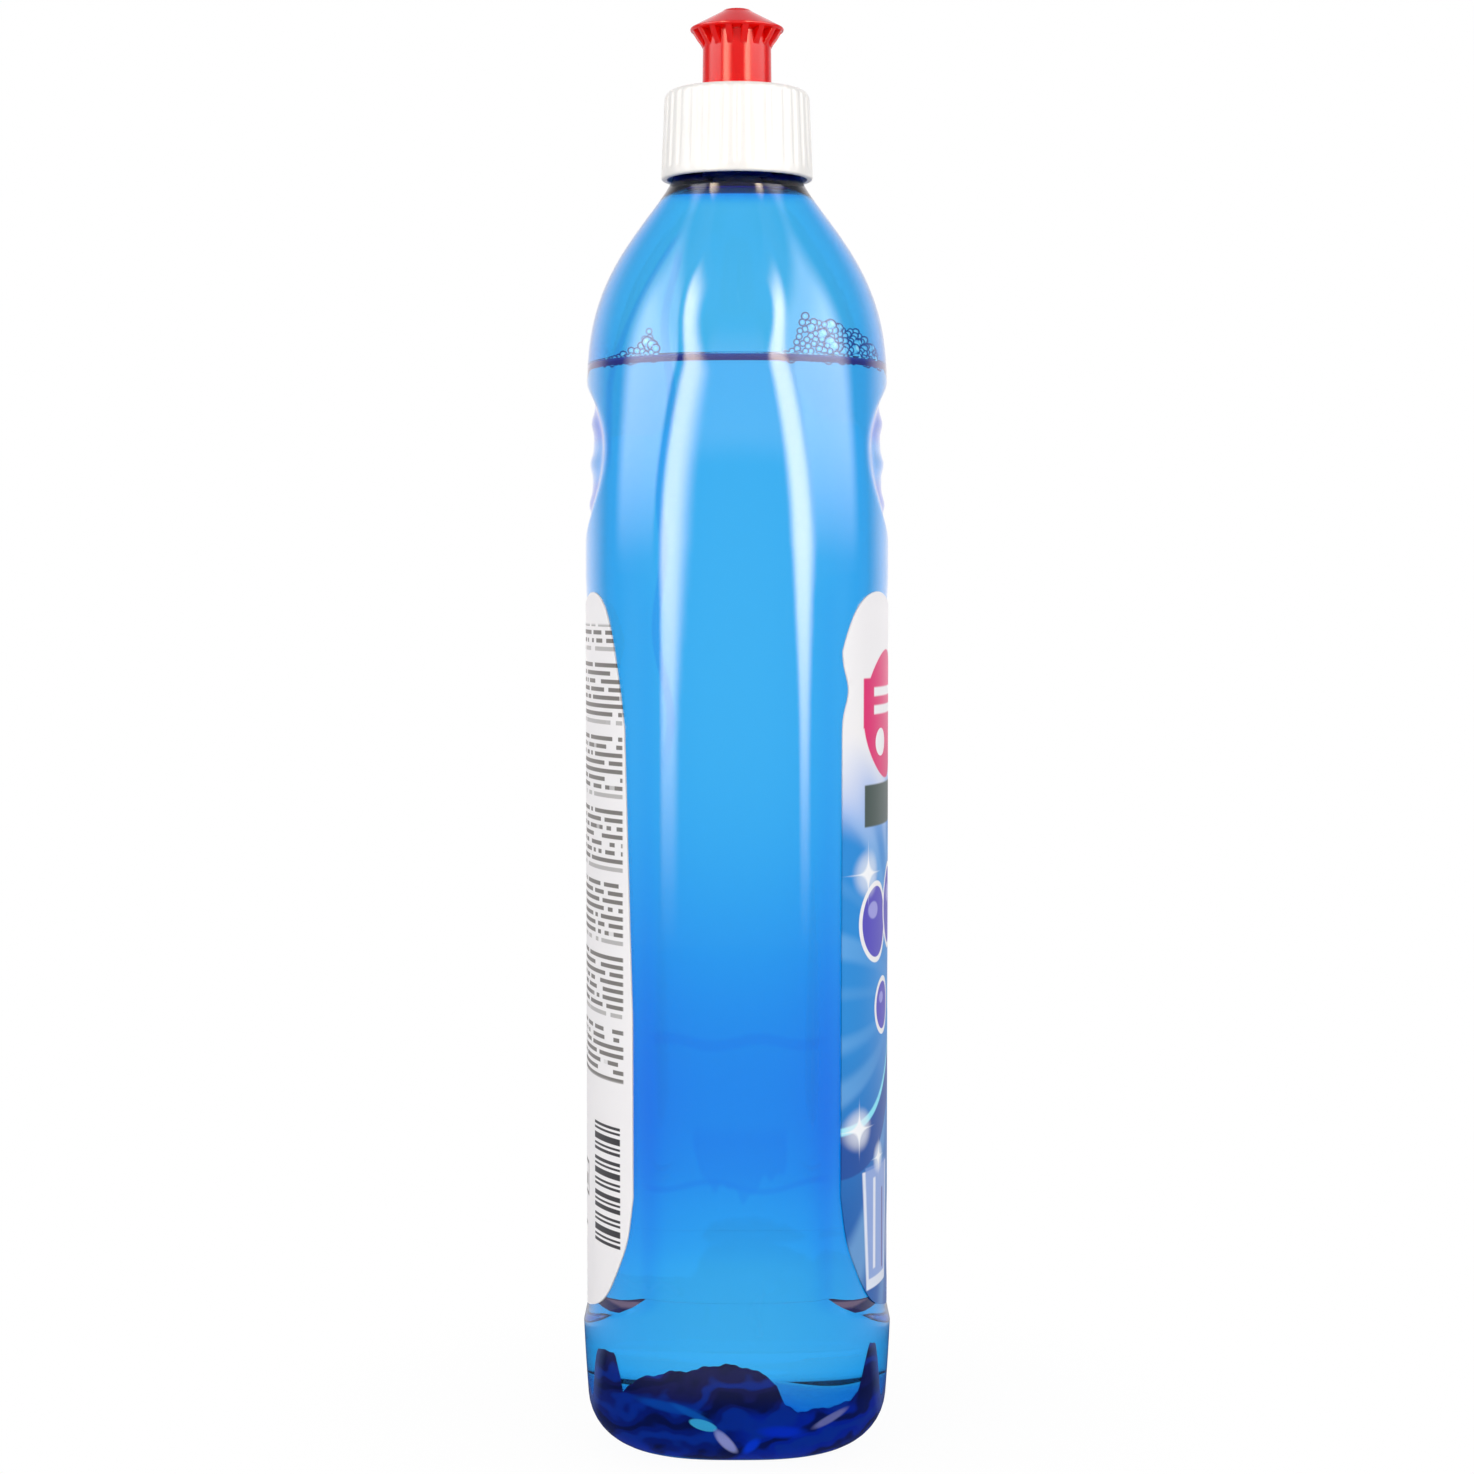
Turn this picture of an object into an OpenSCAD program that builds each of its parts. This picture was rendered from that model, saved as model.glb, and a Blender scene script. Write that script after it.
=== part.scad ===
// Rinse aid bottle: a clear blue blown bottle of one litre with a screw cap and a push-pull spout.
// Millimetres. +Z is up, the foot stands on z = 0, X is the width and the front label faces -Y.

/* [Bottle] */
// Width of the body, across its narrow sides
body_w = 92; // [86:1:100]
// Depth of the body between its two wide faces, at the shoulder
body_d = 62.4; // [58:0.2:68]
// Height of the root of the neck above the foot
neck_z = 260.3; // [256:0.1:275]
// Squareness of the body's section: 2 is an ellipse and 4 is nearly a rectangle
squareness = 2.8; // [2.4:0.1:3.2]
// Thickness of the blown wall
wall = 0.5; // [0.4:0.05:0.8]
// Height of the fill above the foot
fill_z = 219.8; // [120:0.2:222]

/* [Foot and heel] */
// Height of the heel's outermost line above the foot
heel_z = 21.9; // [20:0.1:24]
// How far the heel stands out beyond the shoulder's depth, on each face
heel_swell = 0.85; // [0.5:0.05:1.2]
// How far the wall draws in from the heel down to the foot
heel_draft = 1.5; // [1:0.1:2.2]
// Rounding of the foot's edge as seen from the narrow side
foot_round_d = 8; // [6:0.5:9]
// Rounding of the foot's edge as seen from the wide side
foot_round_w = 12; // [8:0.5:14]
// Width of the flat ring that the bottle stands on
foot_ring = 2.6; // [1.6:0.2:4]
// Height of the push-up in the middle of the foot
punt_h = 9; // [5:0.5:12]

/* [Shoulder] */
// Drop from the neck's root to where the wide faces start to curve in
shoulder_drop_d = 46.3; // [44:0.1:48]
// Drop from the neck's root to where the narrow sides start to curve in
shoulder_drop_w = 80; // [74:1:84]

/* [Label panels] */
// Sinking of each panel below the shoulder's depth
panel_sink = 0.15; // [0.1:0.05:0.4]
// Width of each panel, where its edge has faded away
panel_w = 84; // [80:1:86]
// Height of the step between heel and panel
ledge_h = 3.4; // [2.6:0.2:4.4]
// Rise of the step at the ends of the panel
ledge_rise = 10.6; // [8:0.2:12]
// Height of the top of the panel above the foot
panel_top = 170; // [160:1:172]
// Width of each label
label_w = 80; // [70:1:81]
// Height of the middle of a label's top edge above the foot
label_top = 171; // [150:0.5:173]
// Thickness of a label
label_t = 0.2; // [0.15:0.05:0.25]

/* [Grip scoops] */
// Height of the middle of a scoop above the foot
scoop_z = 200.4; // [198:0.2:202]
// Height of a scoop
scoop_h = 34; // [30:1:35]
// Width of a scoop
scoop_w = 64; // [54:1:66]
// Depth of a scoop
scoop_depth = 1.7; // [1.2:0.1:2]
// Ribs across a scoop
scoop_ribs = 3; // [2:1:4]
// Height of each rib above the scoop's floor
scoop_rib_h = 0.6; // [0.3:0.1:0.7]

/* [Neck] */
// Height of the neck above its root
neck_h = 14.85; // [14:0.05:17]
// Thickness of the neck's wall between the threads
neck_wall_t = 1.8; // [1.7:0.05:2.4]
// How far the bead stands out from the neck's root
bead_out = 0.6; // [0.5:0.05:0.8]
// Rise of the thread in one turn
pitch = 4.2; // [3.8:0.1:4.6]
// Turns of each thread
thread_turns = 1.3; // [1:0.1:1.4]
// Height of the thread's ridge above its wall
thread_h = 0.6; // [0.45:0.05:0.65]

/* [Cap] */
// Diameter of the cap at its lower edge
cap_d = 31.6; // [31.3:0.1:33]
// Height of the cap's skirt and deck
cap_h = 18.35; // [17.4:0.05:18.8]
// Taper of the skirt from its lower edge to its deck, on the radius
cap_taper = 0.8; // [0.5:0.05:0.9]
// Wall of the skirt at its lower edge
skirt_wall = 1.3; // [1.2:0.05:1.5]
// Thickness of the deck
deck_t = 1.55; // [1.2:0.05:2]
// Grip flutes round the skirt
flutes = 36; // [24:1:40]
// Depth of a grip flute
flute_depth = 0.22; // [0.15:0.01:0.3]
// Thickness of the sealing washer under the deck
washer_t = 1; // [0.8:0.1:1.2]
// Height of the chimney that the spout slides on, above the deck
chimney_h = 8; // [7.6:0.1:8.4]
// Outer diameter of the chimney
chimney_d = 10.8; // [10:0.1:11]
// Wall of the chimney
chimney_wall = 1.2; // [1:0.05:1.4]
// Diameter of the pin that plugs the spout
pin_d = 2.7; // [2.2:0.1:3]

/* [Spout] */
// Height of the spout
spout_h = 16.6; // [16.2:0.1:17.4]
// Diameter of the stem at its top
stem_d = 14.2; // [14:0.1:15]
// Diameter of the flange
flange_d = 19.5; // [18.5:0.1:20.5]
// Diameter of the flat tip
tip_d = 5; // [4.6:0.1:5.6]
// Fins under the flange
fins = 16; // [12:1:18]
// Thickness of a fin
fin_t = 1.35; // [1:0.05:1.5]
// Travel of the spout from shut to open
travel = 4.8; // [4:0.1:5]

/* [Clearances] */
// Room between the neck's wall and the cap's skirt, which the threads share
thread_room = 1.9; // [1.7:0.05:2.1]
// Clearance between the neck's bead and the cap's skirt
bead_gap = 0.6; // [0.5:0.05:0.8]
// Running clearance between the spout and the chimney or its pin
slide_gap = 0.25; // [0.2:0.05:0.35]
// Gap that keeps parts that move apart when they rest on each other
seat_gap = 0.2; // [0.15:0.05:0.3]
// Gap between the fill and the wall round it
fill_gap = 0.3; // [0.25:0.05:0.5]
// Gap between a label and its panel
glue_gap = 0.12; // [0.1:0.01:0.18]

/* [Hidden] */
$fn = 96;
around = 48;
half_w = body_w / 2;
half_d = body_d / 2;
cap_r = cap_d / 2;
skirt_r = cap_r - skirt_wall;
neck_wall_r = skirt_r - thread_room;
bore_r = neck_wall_r - neck_wall_t;
bead_r = skirt_r - bead_gap;
neck_r = bead_r - bead_out;
neck_top = neck_z + neck_h;
shoulder_d_z = neck_z - shoulder_drop_d;
shoulder_w_z = neck_z - shoulder_drop_w;
smile = ledge_rise / (half_w * half_w);
panel_z = heel_z + ledge_h;

// The bead starts above the root, and the blown shell ends inside it
bead_z = neck_z + 0.7;
bead_h = 2.1;
shell_top = bead_z + 1.2;
root_wall = neck_r - bore_r - 0.3;

// Soft step from 0 to 1
function soft(t) = let (c = min(1, max(0, t))) c * c * (3 - 2 * c);

// Half-size that runs straight up to z0 and then domes in to the neck
function domed(half, z, z0) =
    let (u = min(1, max(0, (z - z0) / (neck_z - z0))))
    neck_r + (half - neck_r) * pow(1 - pow(u, shoulder_curve), shoulder_fall);
shoulder_curve = 2.8;
shoulder_fall = 1.45;

// Half-width and half-depth of the body at height z, with the heel drawn in to the foot
function heel_in(z) = heel_draft * pow(max(0, 1 - z / heel_z), 1.2);
function swell(z) = heel_swell * max(0, 1 - max(0, z - heel_z) / (shoulder_d_z - heel_z));
function width_at(z) = domed(half_w, z, shoulder_w_z) - heel_in(z);
function depth_at(z) = domed(half_d, z, shoulder_d_z) + swell(z) - heel_in(z);

// The section turns from squarish to round on its way up the shoulder
function power_at(z) = squareness - (squareness - 2) * soft((z - shoulder_w_z) / (0.8 * shoulder_drop_w));

// How far a wide face sinks in at x and ring height z: its label panel, then its ribbed scoop
panel_fade = 8;
function panel_in(x, z) =
    (swell(z) + panel_sink)
    * soft((z - heel_z) / ledge_h) * (1 - soft((z - panel_top) / panel_fade))
    * (1 - soft((abs(x) - panel_w / 2 + panel_fade) / panel_fade));
function scoop_floor(z) = let (v = (z - scoop_z) / scoop_h) scoop_depth * (0.85 + 0.4 * v);
function scoop_rib(z) =
    let (v = (z - scoop_z) / scoop_h + 0.5)
    scoop_rib_h * pow(sin(180 * (scoop_ribs + 1) * v + 90), 4) * soft((0.5 - abs(v - 0.5)) * 8);
scoop_edge = 4;
function scoop_in(x, z) =
    let (u = 2 * x / scoop_w, v = 2 * (z - scoop_z) / scoop_h)
    let (edge = 1 - sqrt(u * u + v * v))
    soft(edge * scoop_edge) * max(0, scoop_floor(z) - scoop_rib(z) * soft(edge * scoop_edge / 2));
function face_in(x, z) = panel_in(x, z) + scoop_in(x, z);

// The rings between heel and panel bend upward at the narrow sides, as the step does
function bend(z) = soft((z - 0.6 * heel_z) / (0.4 * heel_z)) * (1 - soft((z - panel_z - 2) / 22));

// One ring of the blown form: [z, half-width, half-depth, power, how much of the faces' sinking it takes]
function ring_points(s) = [
    for (i = [0 : around - 1])
        let (angle = 360 * i / around)
        let (c = abs(cos(angle)) / s[1], d = abs(sin(angle)) / s[2])
        let (r = pow(pow(c, s[3]) + pow(d, s[3]), -1 / s[3]))
        let (x = r * cos(angle), y = r * sin(angle))
        [x, y - sign(y) * min(abs(y), s[4] * face_in(x, s[0])), s[0] + smile * x * x * bend(s[0]) * s[4]]
];

// Closed skin over a list of rings, with a fan to a point at each end
module skin(rings, first_z, last_z) {
    n = len(rings);
    points = concat([[0, 0, first_z]], [for (s = rings) each ring_points(s)], [[0, 0, last_z]]);
    last = len(points) - 1;
    faces = concat(
        [for (i = [0 : around - 1]) [0, 1 + i, 1 + (i + 1) % around]],
        [
            for (k = [0 : n - 2], i = [0 : around - 1])
                let (j = (i + 1) % around, low = 1 + k * around, high = low + around)
                each [[low + i, high + i, high + j], [low + i, high + j, low + j]]
        ],
        [for (i = [0 : around - 1]) [last, 1 + (n - 1) * around + (i + 1) % around, 1 + (n - 1) * around + i]]
    );
    polyhedron(points, faces);
}

// Heights of the rings between the foot's rounding and the neck
heel_rings = concat(
    [for (t = [0.3, 0.65]) foot_round_d + t * (0.68 * heel_z - foot_round_d)],
    [for (t = [0, 0.35, 0.7, 1]) heel_z * (0.68 + 0.32 * t)]
);
panel_rings = concat(
    [for (t = [0.35, 0.65, 1]) heel_z + t * ledge_h],
    [for (t = [0.2, 0.55, 1]) panel_z + t * 24],
    [for (t = [0, 0.35, 0.65, 1]) panel_top + t * panel_fade]
);
scoop_cuts = 3 * (scoop_ribs + 1);
scoop_rings = [for (k = [0 : scoop_cuts]) scoop_z + scoop_h * (k / scoop_cuts - 0.5)];
shoulder_rings = [
    for (t = [0.06, 0.18, 0.31, 0.44, 0.57, 0.7, 0.82, 0.91, 0.97, 1])
        let (low = scoop_z + scoop_h / 2)
        low + t * (neck_z - low)
];
body_rings = concat(heel_rings, panel_rings, scoop_rings, shoulder_rings);

// Foot from its middle out: push-up, standing ring and rounded edge, inset by t for the inside
function foot_rings(t) =
    let (w = width_at(0) - foot_round_w, d = depth_at(0) - foot_round_d)
    concat(
        [
            for (s = [0.2, 0.45, 0.7, 0.88, 1])
                [punt_h * (1 - pow(s, 2.4)) + t, s * (w - foot_ring), s * (d - foot_ring), squareness, 1]
        ],
        [for (a = [0 : 22.5 : 90]) [
            foot_round_d - (foot_round_d - t) * cos(a),
            width_at(foot_round_d * (1 - cos(a))) - foot_round_w + (foot_round_w - t) * sin(a),
            depth_at(foot_round_d * (1 - cos(a))) - foot_round_d + (foot_round_d - t) * sin(a),
            squareness,
            1
        ]]
    );

// Lean of the wall, which makes an inset of t measure t across the wall
function lean_w(z) = let (s = width_at(z - 0.5) - width_at(z + 0.5)) sqrt(1 + min(4, s * s));
function lean_d(z) = let (s = depth_at(z - 0.5) - depth_at(z + 0.5)) sqrt(1 + min(4, s * s));
function wall_ring(z, t) = [z, width_at(z) - t * lean_w(z), depth_at(z) - t * lean_d(z), power_at(z), 1];

// The blown wall thickens toward the root of the neck
thick_h = 16;
function wall_at(z) = wall + (root_wall - wall) * pow(soft(1 - (neck_z - z) / thick_h), 1.5);

module blown_shell() {
    outer = concat(
        foot_rings(0),
        [for (z = body_rings) wall_ring(z, 0)],
        [[shell_top, neck_r, neck_r, 2, 0]]
    );
    inner = concat(
        foot_rings(wall),
        [for (z = body_rings) if (z < neck_z - 1) wall_ring(z, wall_at(z))],
        [for (z = [neck_z, shell_top]) [z, neck_r - root_wall, neck_r - root_wall, 2, 0]]
    );
    n = len(inner);
    skin(concat(outer, [for (k = [1 : n]) inner[n - k]]), punt_h, punt_h + wall);
}

// Ridge of a screw thread, centred on the height where it starts, with both ends run out
thread_step = 12;
module thread(root_r, crest_r, root_w, crest_w) {
    n = floor(360 * thread_turns / thread_step);
    points = [
        for (i = [0 : n])
            let (a = i * thread_step, z = pitch * a / 360)
            let (r = root_r + (crest_r - root_r) * max(0.05, min(1, i / 4, (n - i) / 4)))
            each [
                [root_r * cos(a), root_r * sin(a), z - root_w / 2],
                [r * cos(a), r * sin(a), z - crest_w / 2],
                [r * cos(a), r * sin(a), z + crest_w / 2],
                [root_r * cos(a), root_r * sin(a), z + root_w / 2]
            ]
    ];
    turn = crest_r < root_r;
    faces = concat(
        [turn ? [0, 1, 2] : [2, 1, 0], turn ? [0, 2, 3] : [3, 2, 0]],
        [
            for (i = [0 : n - 1], k = [0 : 3])
                let (a = 4 * i + k, b = 4 * i + (k + 1) % 4)
                each turn ? [[a, a + 4, b + 4], [a, b + 4, b]] : [[b + 4, a + 4, a], [b, b + 4, a]]
        ],
        [turn ? [4 * n + 2, 4 * n + 1, 4 * n] : [4 * n, 4 * n + 1, 4 * n + 2],
         turn ? [4 * n + 3, 4 * n + 2, 4 * n] : [4 * n, 4 * n + 2, 4 * n + 3]]
    );
    polyhedron(points, faces);
}
thread_root_w = 1.9;
thread_crest_w = 0.9;
thread_sunk = 0.3;
thread_z = bead_z + bead_h + 2;

module bottle() {
    color([0.2, 0.6, 0.93, 0.5]) {
        union() {
            blown_shell();
            rotate_extrude() polygon([
                [bore_r, bead_z],
                [bead_r - 0.3, bead_z],
                [bead_r, bead_z + 0.3],
                [bead_r, bead_z + bead_h - 0.5],
                [neck_wall_r, bead_z + bead_h],
                [neck_wall_r, neck_top - 0.5],
                [neck_wall_r - 0.5, neck_top],
                [bore_r + 0.4, neck_top],
                [bore_r, neck_top - 0.4]
            ]);
            translate([0, 0, thread_z])
                thread(neck_wall_r - thread_sunk, neck_wall_r + thread_h, thread_root_w, thread_crest_w);
        }
    }
}

// The fill follows the inside of the wall up to its level, and doesn't reach into the scoops' ribs
fill_rings = concat(
    [for (z = concat(heel_rings, panel_rings)) if (z < fill_z - 2) z],
    [
        for (k = [0 : scoop_cuts])
            if ((k % 3 > 0 || k == 0 || k == scoop_cuts) && scoop_rings[k] < fill_z - 2) scoop_rings[k]
    ],
    [for (z = shoulder_rings) if (z < fill_z - 2) z],
    [fill_z]
);
module rinse_aid() {
    inset = wall + fill_gap;
    color([0.6, 0.86, 0.98, 0.5])
        skin(
            concat(
                foot_rings(inset),
                [for (z = fill_rings) wall_ring(z, inset)]
            ),
            punt_h + inset,
            fill_z
        );
}

// A label lies on its panel. Its lower edge keeps to the step, and its top edge dips between two lobes
lobe_rise = 3.4;
lobe_turn = 117;
edge_power = 14;
label_foot = panel_z + 1.2;
label_side_low = 28;
notch_at = 0.905;
notch_h = 4;
taper_from = 90;
module label(side_high, notch, taper) {
    columns = 22;
    rows = 9;
    out = glue_gap + label_t;
    function foot_edge(u) = label_foot + label_side_low * pow(abs(u), edge_power);
    function top_edge(u) =
        label_top + lobe_rise * pow(sin(min(90, lobe_turn * abs(u))), 4) - side_high * pow(abs(u), edge_power);
    function waist(z) =
        1 - notch * exp(-pow((z - notch_at * label_top) / notch_h, 2))
        - taper * max(0, (z - taper_from) / (label_top - taper_from));
    function spot(i, j, lift) =
        let (u = sin(90 * (2 * i / columns - 1)), v = j / rows)
        let (z = foot_edge(u) + v * (top_edge(u) - foot_edge(u)))
        let (x = u * label_w / 2 * waist(z), p = power_at(z), a = width_at(z), b = depth_at(z))
        let (q = 1 - pow(abs(x) / a, p), y = b * pow(q, 1 / p))
        // Slope of the wall across the width, for a lift along its normal
        let (s = b / a * pow(abs(x) / a, p - 1) * pow(q, 1 / p - 1), k = sqrt(1 + s * s))
        [
            x + sign(x) * lift * s / k,
            -(y - face_in(x, z) + lift / k),
            z + smile * x * x * bend(z)
        ];
    n = (columns + 1) * (rows + 1);
    points = concat(
        [for (j = [0 : rows], i = [0 : columns]) spot(i, j, glue_gap)],
        [for (j = [0 : rows], i = [0 : columns]) spot(i, j, out)]
    );
    function at(i, j) = j * (columns + 1) + i;
    faces = concat(
        [
            for (j = [0 : rows - 1], i = [0 : columns - 1])
                let (a = at(i, j), b = at(i + 1, j), c = at(i + 1, j + 1), d = at(i, j + 1))
                each [[a, b, c], [a, c, d], [n + c, n + b, n + a], [n + d, n + c, n + a]]
        ],
        [
            for (i = [0 : columns - 1])
                let (a = at(i, 0), b = at(i + 1, 0), c = at(i, rows), d = at(i + 1, rows))
                each [[b, a, n + a], [b, n + a, n + b], [c, d, n + d], [c, n + d, n + c]]
        ],
        [
            for (j = [0 : rows - 1])
                let (a = at(0, j), b = at(0, j + 1), c = at(columns, j), d = at(columns, j + 1))
                each [[a, b, n + b], [a, n + b, n + a], [d, c, n + c], [d, n + c, n + d]]
        ]
    );
    polyhedron(points, faces);
}
front_side_high = 12;
front_notch = 0.03;
back_side_high = 27;
back_taper = 0.05;
module front_label() {
    color([0.25, 0.6, 0.9]) label(front_side_high, front_notch, 0);
}
module back_label() {
    color([0.93, 0.93, 0.94]) rotate([0, 0, 180]) label(back_side_high, 0, back_taper);
}

// The washer is pressed to the neck's rim by the deck, which sets the height of the cap
washer_z = neck_top + seat_gap;
deck_under = washer_z + washer_t;
deck_z = deck_under + deck_t;
cap_z = deck_z - cap_h;
cap_top_r = cap_r - cap_taper;
skirt_top_r = cap_top_r - 0.95;
chimney_r = chimney_d / 2;
chimney_top = deck_z + chimney_h;
chimney_bore = chimney_r - chimney_wall;
catch_h = 0.35;
pin_r = pin_d / 2;
spout_z = deck_z + seat_gap;
tip_z = spout_z + spout_h;

module cap() {
    round_r = 2;
    catch_z = chimney_top - 1.4;
    hold_r = chimney_r + catch_h;
    color([0.97, 0.965, 0.95]) {
        difference() {
            union() {
                // Skirt and deck
                rotate_extrude() polygon(concat(
                    [[skirt_r, cap_z], [cap_r - 0.3, cap_z], [cap_r, cap_z + 0.4]],
                    [for (a = [0 : 15 : 90])
                        [cap_top_r - round_r * (1 - cos(a)), deck_z - round_r * (1 - sin(a))]],
                    [[chimney_bore, deck_z], [chimney_bore, deck_under]],
                    [[skirt_top_r - 0.4, deck_under], [skirt_top_r, deck_under - 0.4]]
                ));
                // Chimney with the catch that stops the spout
                rotate_extrude() polygon([
                    [chimney_bore, deck_z - 0.5],
                    [chimney_r, deck_z - 0.5],
                    [chimney_r, catch_z],
                    [hold_r, catch_z],
                    [hold_r, catch_z + 0.6],
                    [chimney_r, chimney_top],
                    [chimney_bore, chimney_top]
                ]);
            }
            // Grip flutes, tilted with the taper, which end short of the lower edge
            for (i = [0 : flutes - 1])
                rotate([0, 0, 360 * i / flutes])
                    translate([cap_r + flute_r - flute_depth, 0, cap_z])
                        rotate([0, -atan(cap_taper / cap_h), 0])
                            translate([0, 0, flute_start])
                                cylinder(r = flute_r, h = cap_h, $fn = 24);
        }
        // Pin on three spokes, which plugs the hole in the tip
        translate([0, 0, chimney_top - 4])
            cylinder(r = pin_r, h = tip_z - pin_sunk - chimney_top + 4);
        for (i = [0 : 2])
            rotate([0, 0, 120 * i])
                translate([0, -spoke_t / 2, chimney_top - 4])
                    cube([chimney_bore + 0.5, spoke_t, 1.6]);
        // Thread inside the skirt
        translate([0, 0, thread_z - thread_slack])
            rotate([0, 0, 180])
                translate([0, 0, pitch / 2])
                    thread(skirt_r + thread_sunk, neck_wall_r + thread_h + thread_play, thread_root_w, thread_crest_w);
    }
}
flute_r = 1.3;
flute_start = 1.8;
spoke_t = 1;
pin_sunk = 0.5;
thread_play = 0.3;
thread_slack = 0.4;

module seal_washer() {
    color([0.9, 0.9, 0.88])
        translate([0, 0, washer_z])
            difference() {
                cylinder(r = skirt_top_r - 0.6, h = washer_t);
                translate([0, 0, -1]) cylinder(r = chimney_bore + 2, h = washer_t + 2);
            }
}

module spout() {
    stem_r = stem_d / 2;
    flange_r = flange_d / 2;
    tip_r = tip_d / 2;
    inner_r = chimney_r + catch_h + slide_gap;
    lip_r = chimney_r + slide_gap;
    hole_r = pin_r + slide_gap;
    flange_z = tip_z - 4.15;
    fin_foot = tip_z - 8;
    lip_z = chimney_top - 1.4 - seat_gap - travel;
    color([0.86, 0.05, 0.02]) {
        rotate_extrude() polygon([
            // Outside, from the foot of the stem to the tip
            [stem_r + 0.1, spout_z],
            [stem_r, flange_z - 3],
            [stem_r, flange_z - 0.7],
            [flange_r - 0.15, flange_z - 0.35],
            [flange_r, flange_z - 0.1],
            [flange_r - 0.1, flange_z + 0.25],
            [tip_r + 0.7, tip_z - 0.55],
            [tip_r + 0.15, tip_z - 0.12],
            [tip_r - 0.25, tip_z],
            // Inside, from the hole down to the lip that catches under the chimney's catch
            [hole_r, tip_z],
            [hole_r, tip_z - 2.3],
            [inner_r, flange_z - 0.4],
            [inner_r, lip_z + 0.4],
            [lip_r, lip_z],
            [lip_r, lip_z - 0.9],
            [inner_r, lip_z - 1.2],
            [inner_r, spout_z]
        ]);
        for (i = [0 : fins - 1])
            rotate([0, 0, 360 * (i + 0.5) / fins])
                rotate([90, 0, 0])
                    linear_extrude(height = fin_t, center = true)
                        polygon([
                            [stem_r - 0.3, fin_foot],
                            [stem_r + 0.02, fin_foot],
                            [stem_r + 1.15, fin_foot + 1.75],
                            [flange_r - 0.35, flange_z - 0.3],
                            [stem_r - 0.3, flange_z - 0.3]
                        ]);
    }
}

bottle();
rinse_aid();
cap();
seal_washer();
spout();
front_label();
back_label();
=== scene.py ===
# Rinse aid bottle: a clear blue blown bottle with foam on its fill, labels, a screw cap and a push-pull spout.
# +Z is up, the front label faces -Y, and the photograph looks along +X. Shapes are worked out in millimetres.

import math

import bpy
import numpy as np
from bpy.props import FloatProperty, FloatVectorProperty, IntProperty, PointerProperty
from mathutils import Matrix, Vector


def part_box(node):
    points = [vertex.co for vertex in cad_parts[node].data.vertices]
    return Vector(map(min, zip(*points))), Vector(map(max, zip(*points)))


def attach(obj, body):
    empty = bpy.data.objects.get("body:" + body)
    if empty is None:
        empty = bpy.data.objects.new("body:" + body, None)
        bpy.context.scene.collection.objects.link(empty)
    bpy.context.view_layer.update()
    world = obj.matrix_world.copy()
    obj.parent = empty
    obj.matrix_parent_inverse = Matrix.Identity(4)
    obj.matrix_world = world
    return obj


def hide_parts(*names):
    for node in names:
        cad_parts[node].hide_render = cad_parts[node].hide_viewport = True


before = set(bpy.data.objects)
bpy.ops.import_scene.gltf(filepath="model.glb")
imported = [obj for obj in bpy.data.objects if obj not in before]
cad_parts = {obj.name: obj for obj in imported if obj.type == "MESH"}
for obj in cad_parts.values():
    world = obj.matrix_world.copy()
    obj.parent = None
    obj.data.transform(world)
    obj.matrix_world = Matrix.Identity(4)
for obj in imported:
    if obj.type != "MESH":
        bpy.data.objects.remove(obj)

bl_info = {
    "name": "Rinse Aid Bottle",
    "version": (1, 0, 0),
    "blender": (4, 5, 0),
    "location": "View3D > Sidebar > Rinse Aid",
    "description": "Builds a blown bottle of rinse aid with its cap, spout, labels and studio",
    "category": "Object",
}

MM = 0.001
LOW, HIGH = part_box("bottle")
CAP_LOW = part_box("cap")[0]
SPOUT_LOW, SPOUT_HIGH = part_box("spout")
FILL_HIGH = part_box("rinse_aid")[1]


def length(name, default, text, low=0.0, high=1.0):
    return FloatProperty(
        name=name, description=text, default=default, min=low, max=high, unit="LENGTH", subtype="DISTANCE", precision=5
    )


def colour(name, default, text):
    return FloatVectorProperty(
        name=name, description=text, default=default, size=len(default), min=0.0, max=1.0, subtype="COLOR"
    )


def number(name, default, text, low=0.0, high=1000.0):
    return FloatProperty(name=name, description=text, default=default, min=low, max=high)


def count(name, default, text, low=1, high=2000):
    return IntProperty(name=name, description=text, default=default, min=low, max=high)


class BottleSizes(bpy.types.PropertyGroup):
    width: length("Body width", HIGH.x - LOW.x, "Width of the body across its narrow sides")
    depth: length("Body depth", 0.0624, "Depth between the wide faces at the shoulder")
    neck_root: length("Neck root", 0.2603, "Height of the neck's root above the foot")
    neck_top: length("Neck rim", HIGH.z, "Height of the neck's rim above the foot")
    wall: length("Wall", 0.0005, "Thickness of the blown wall")
    punt: length("Push-up", 0.009, "Height of the push-up in the foot")
    tint: colour("Plastic", (0.018, 0.767, 0.973), "Colour that the plastic lets through")
    density: number("Tint density", 3320.0, "How fast the plastic takes up light, per metre", 0.0, 9000.0)
    thick: number("Thick band", 0.82, "Extra wall, as a share of it, in the band above the heel", 0.0, 2.0)
    thick_z: length("Thick band height", 0.066, "Height of the middle of the thick band")


class FillSizes(bpy.types.PropertyGroup):
    level: length("Fill level", FILL_HIGH.z, "Height of the fill above the foot")
    rise: length("Meniscus", 0.0013, "How far the fill climbs the wall")
    tint: colour("Rinse aid", (0.2, 0.75, 0.95), "Colour that the fill lets through")
    density: number("Tint density", 1.6, "How fast the fill takes up light, per metre", 0.0, 100.0)
    spacing: length("Bubble spacing", 0.00112, "Least distance between bubbles")
    bubble: length("Largest bubble", 0.0014, "Radius of the largest bubbles")
    seed: count("Seed", 4, "Arrangement of the bubbles", 0)


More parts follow.
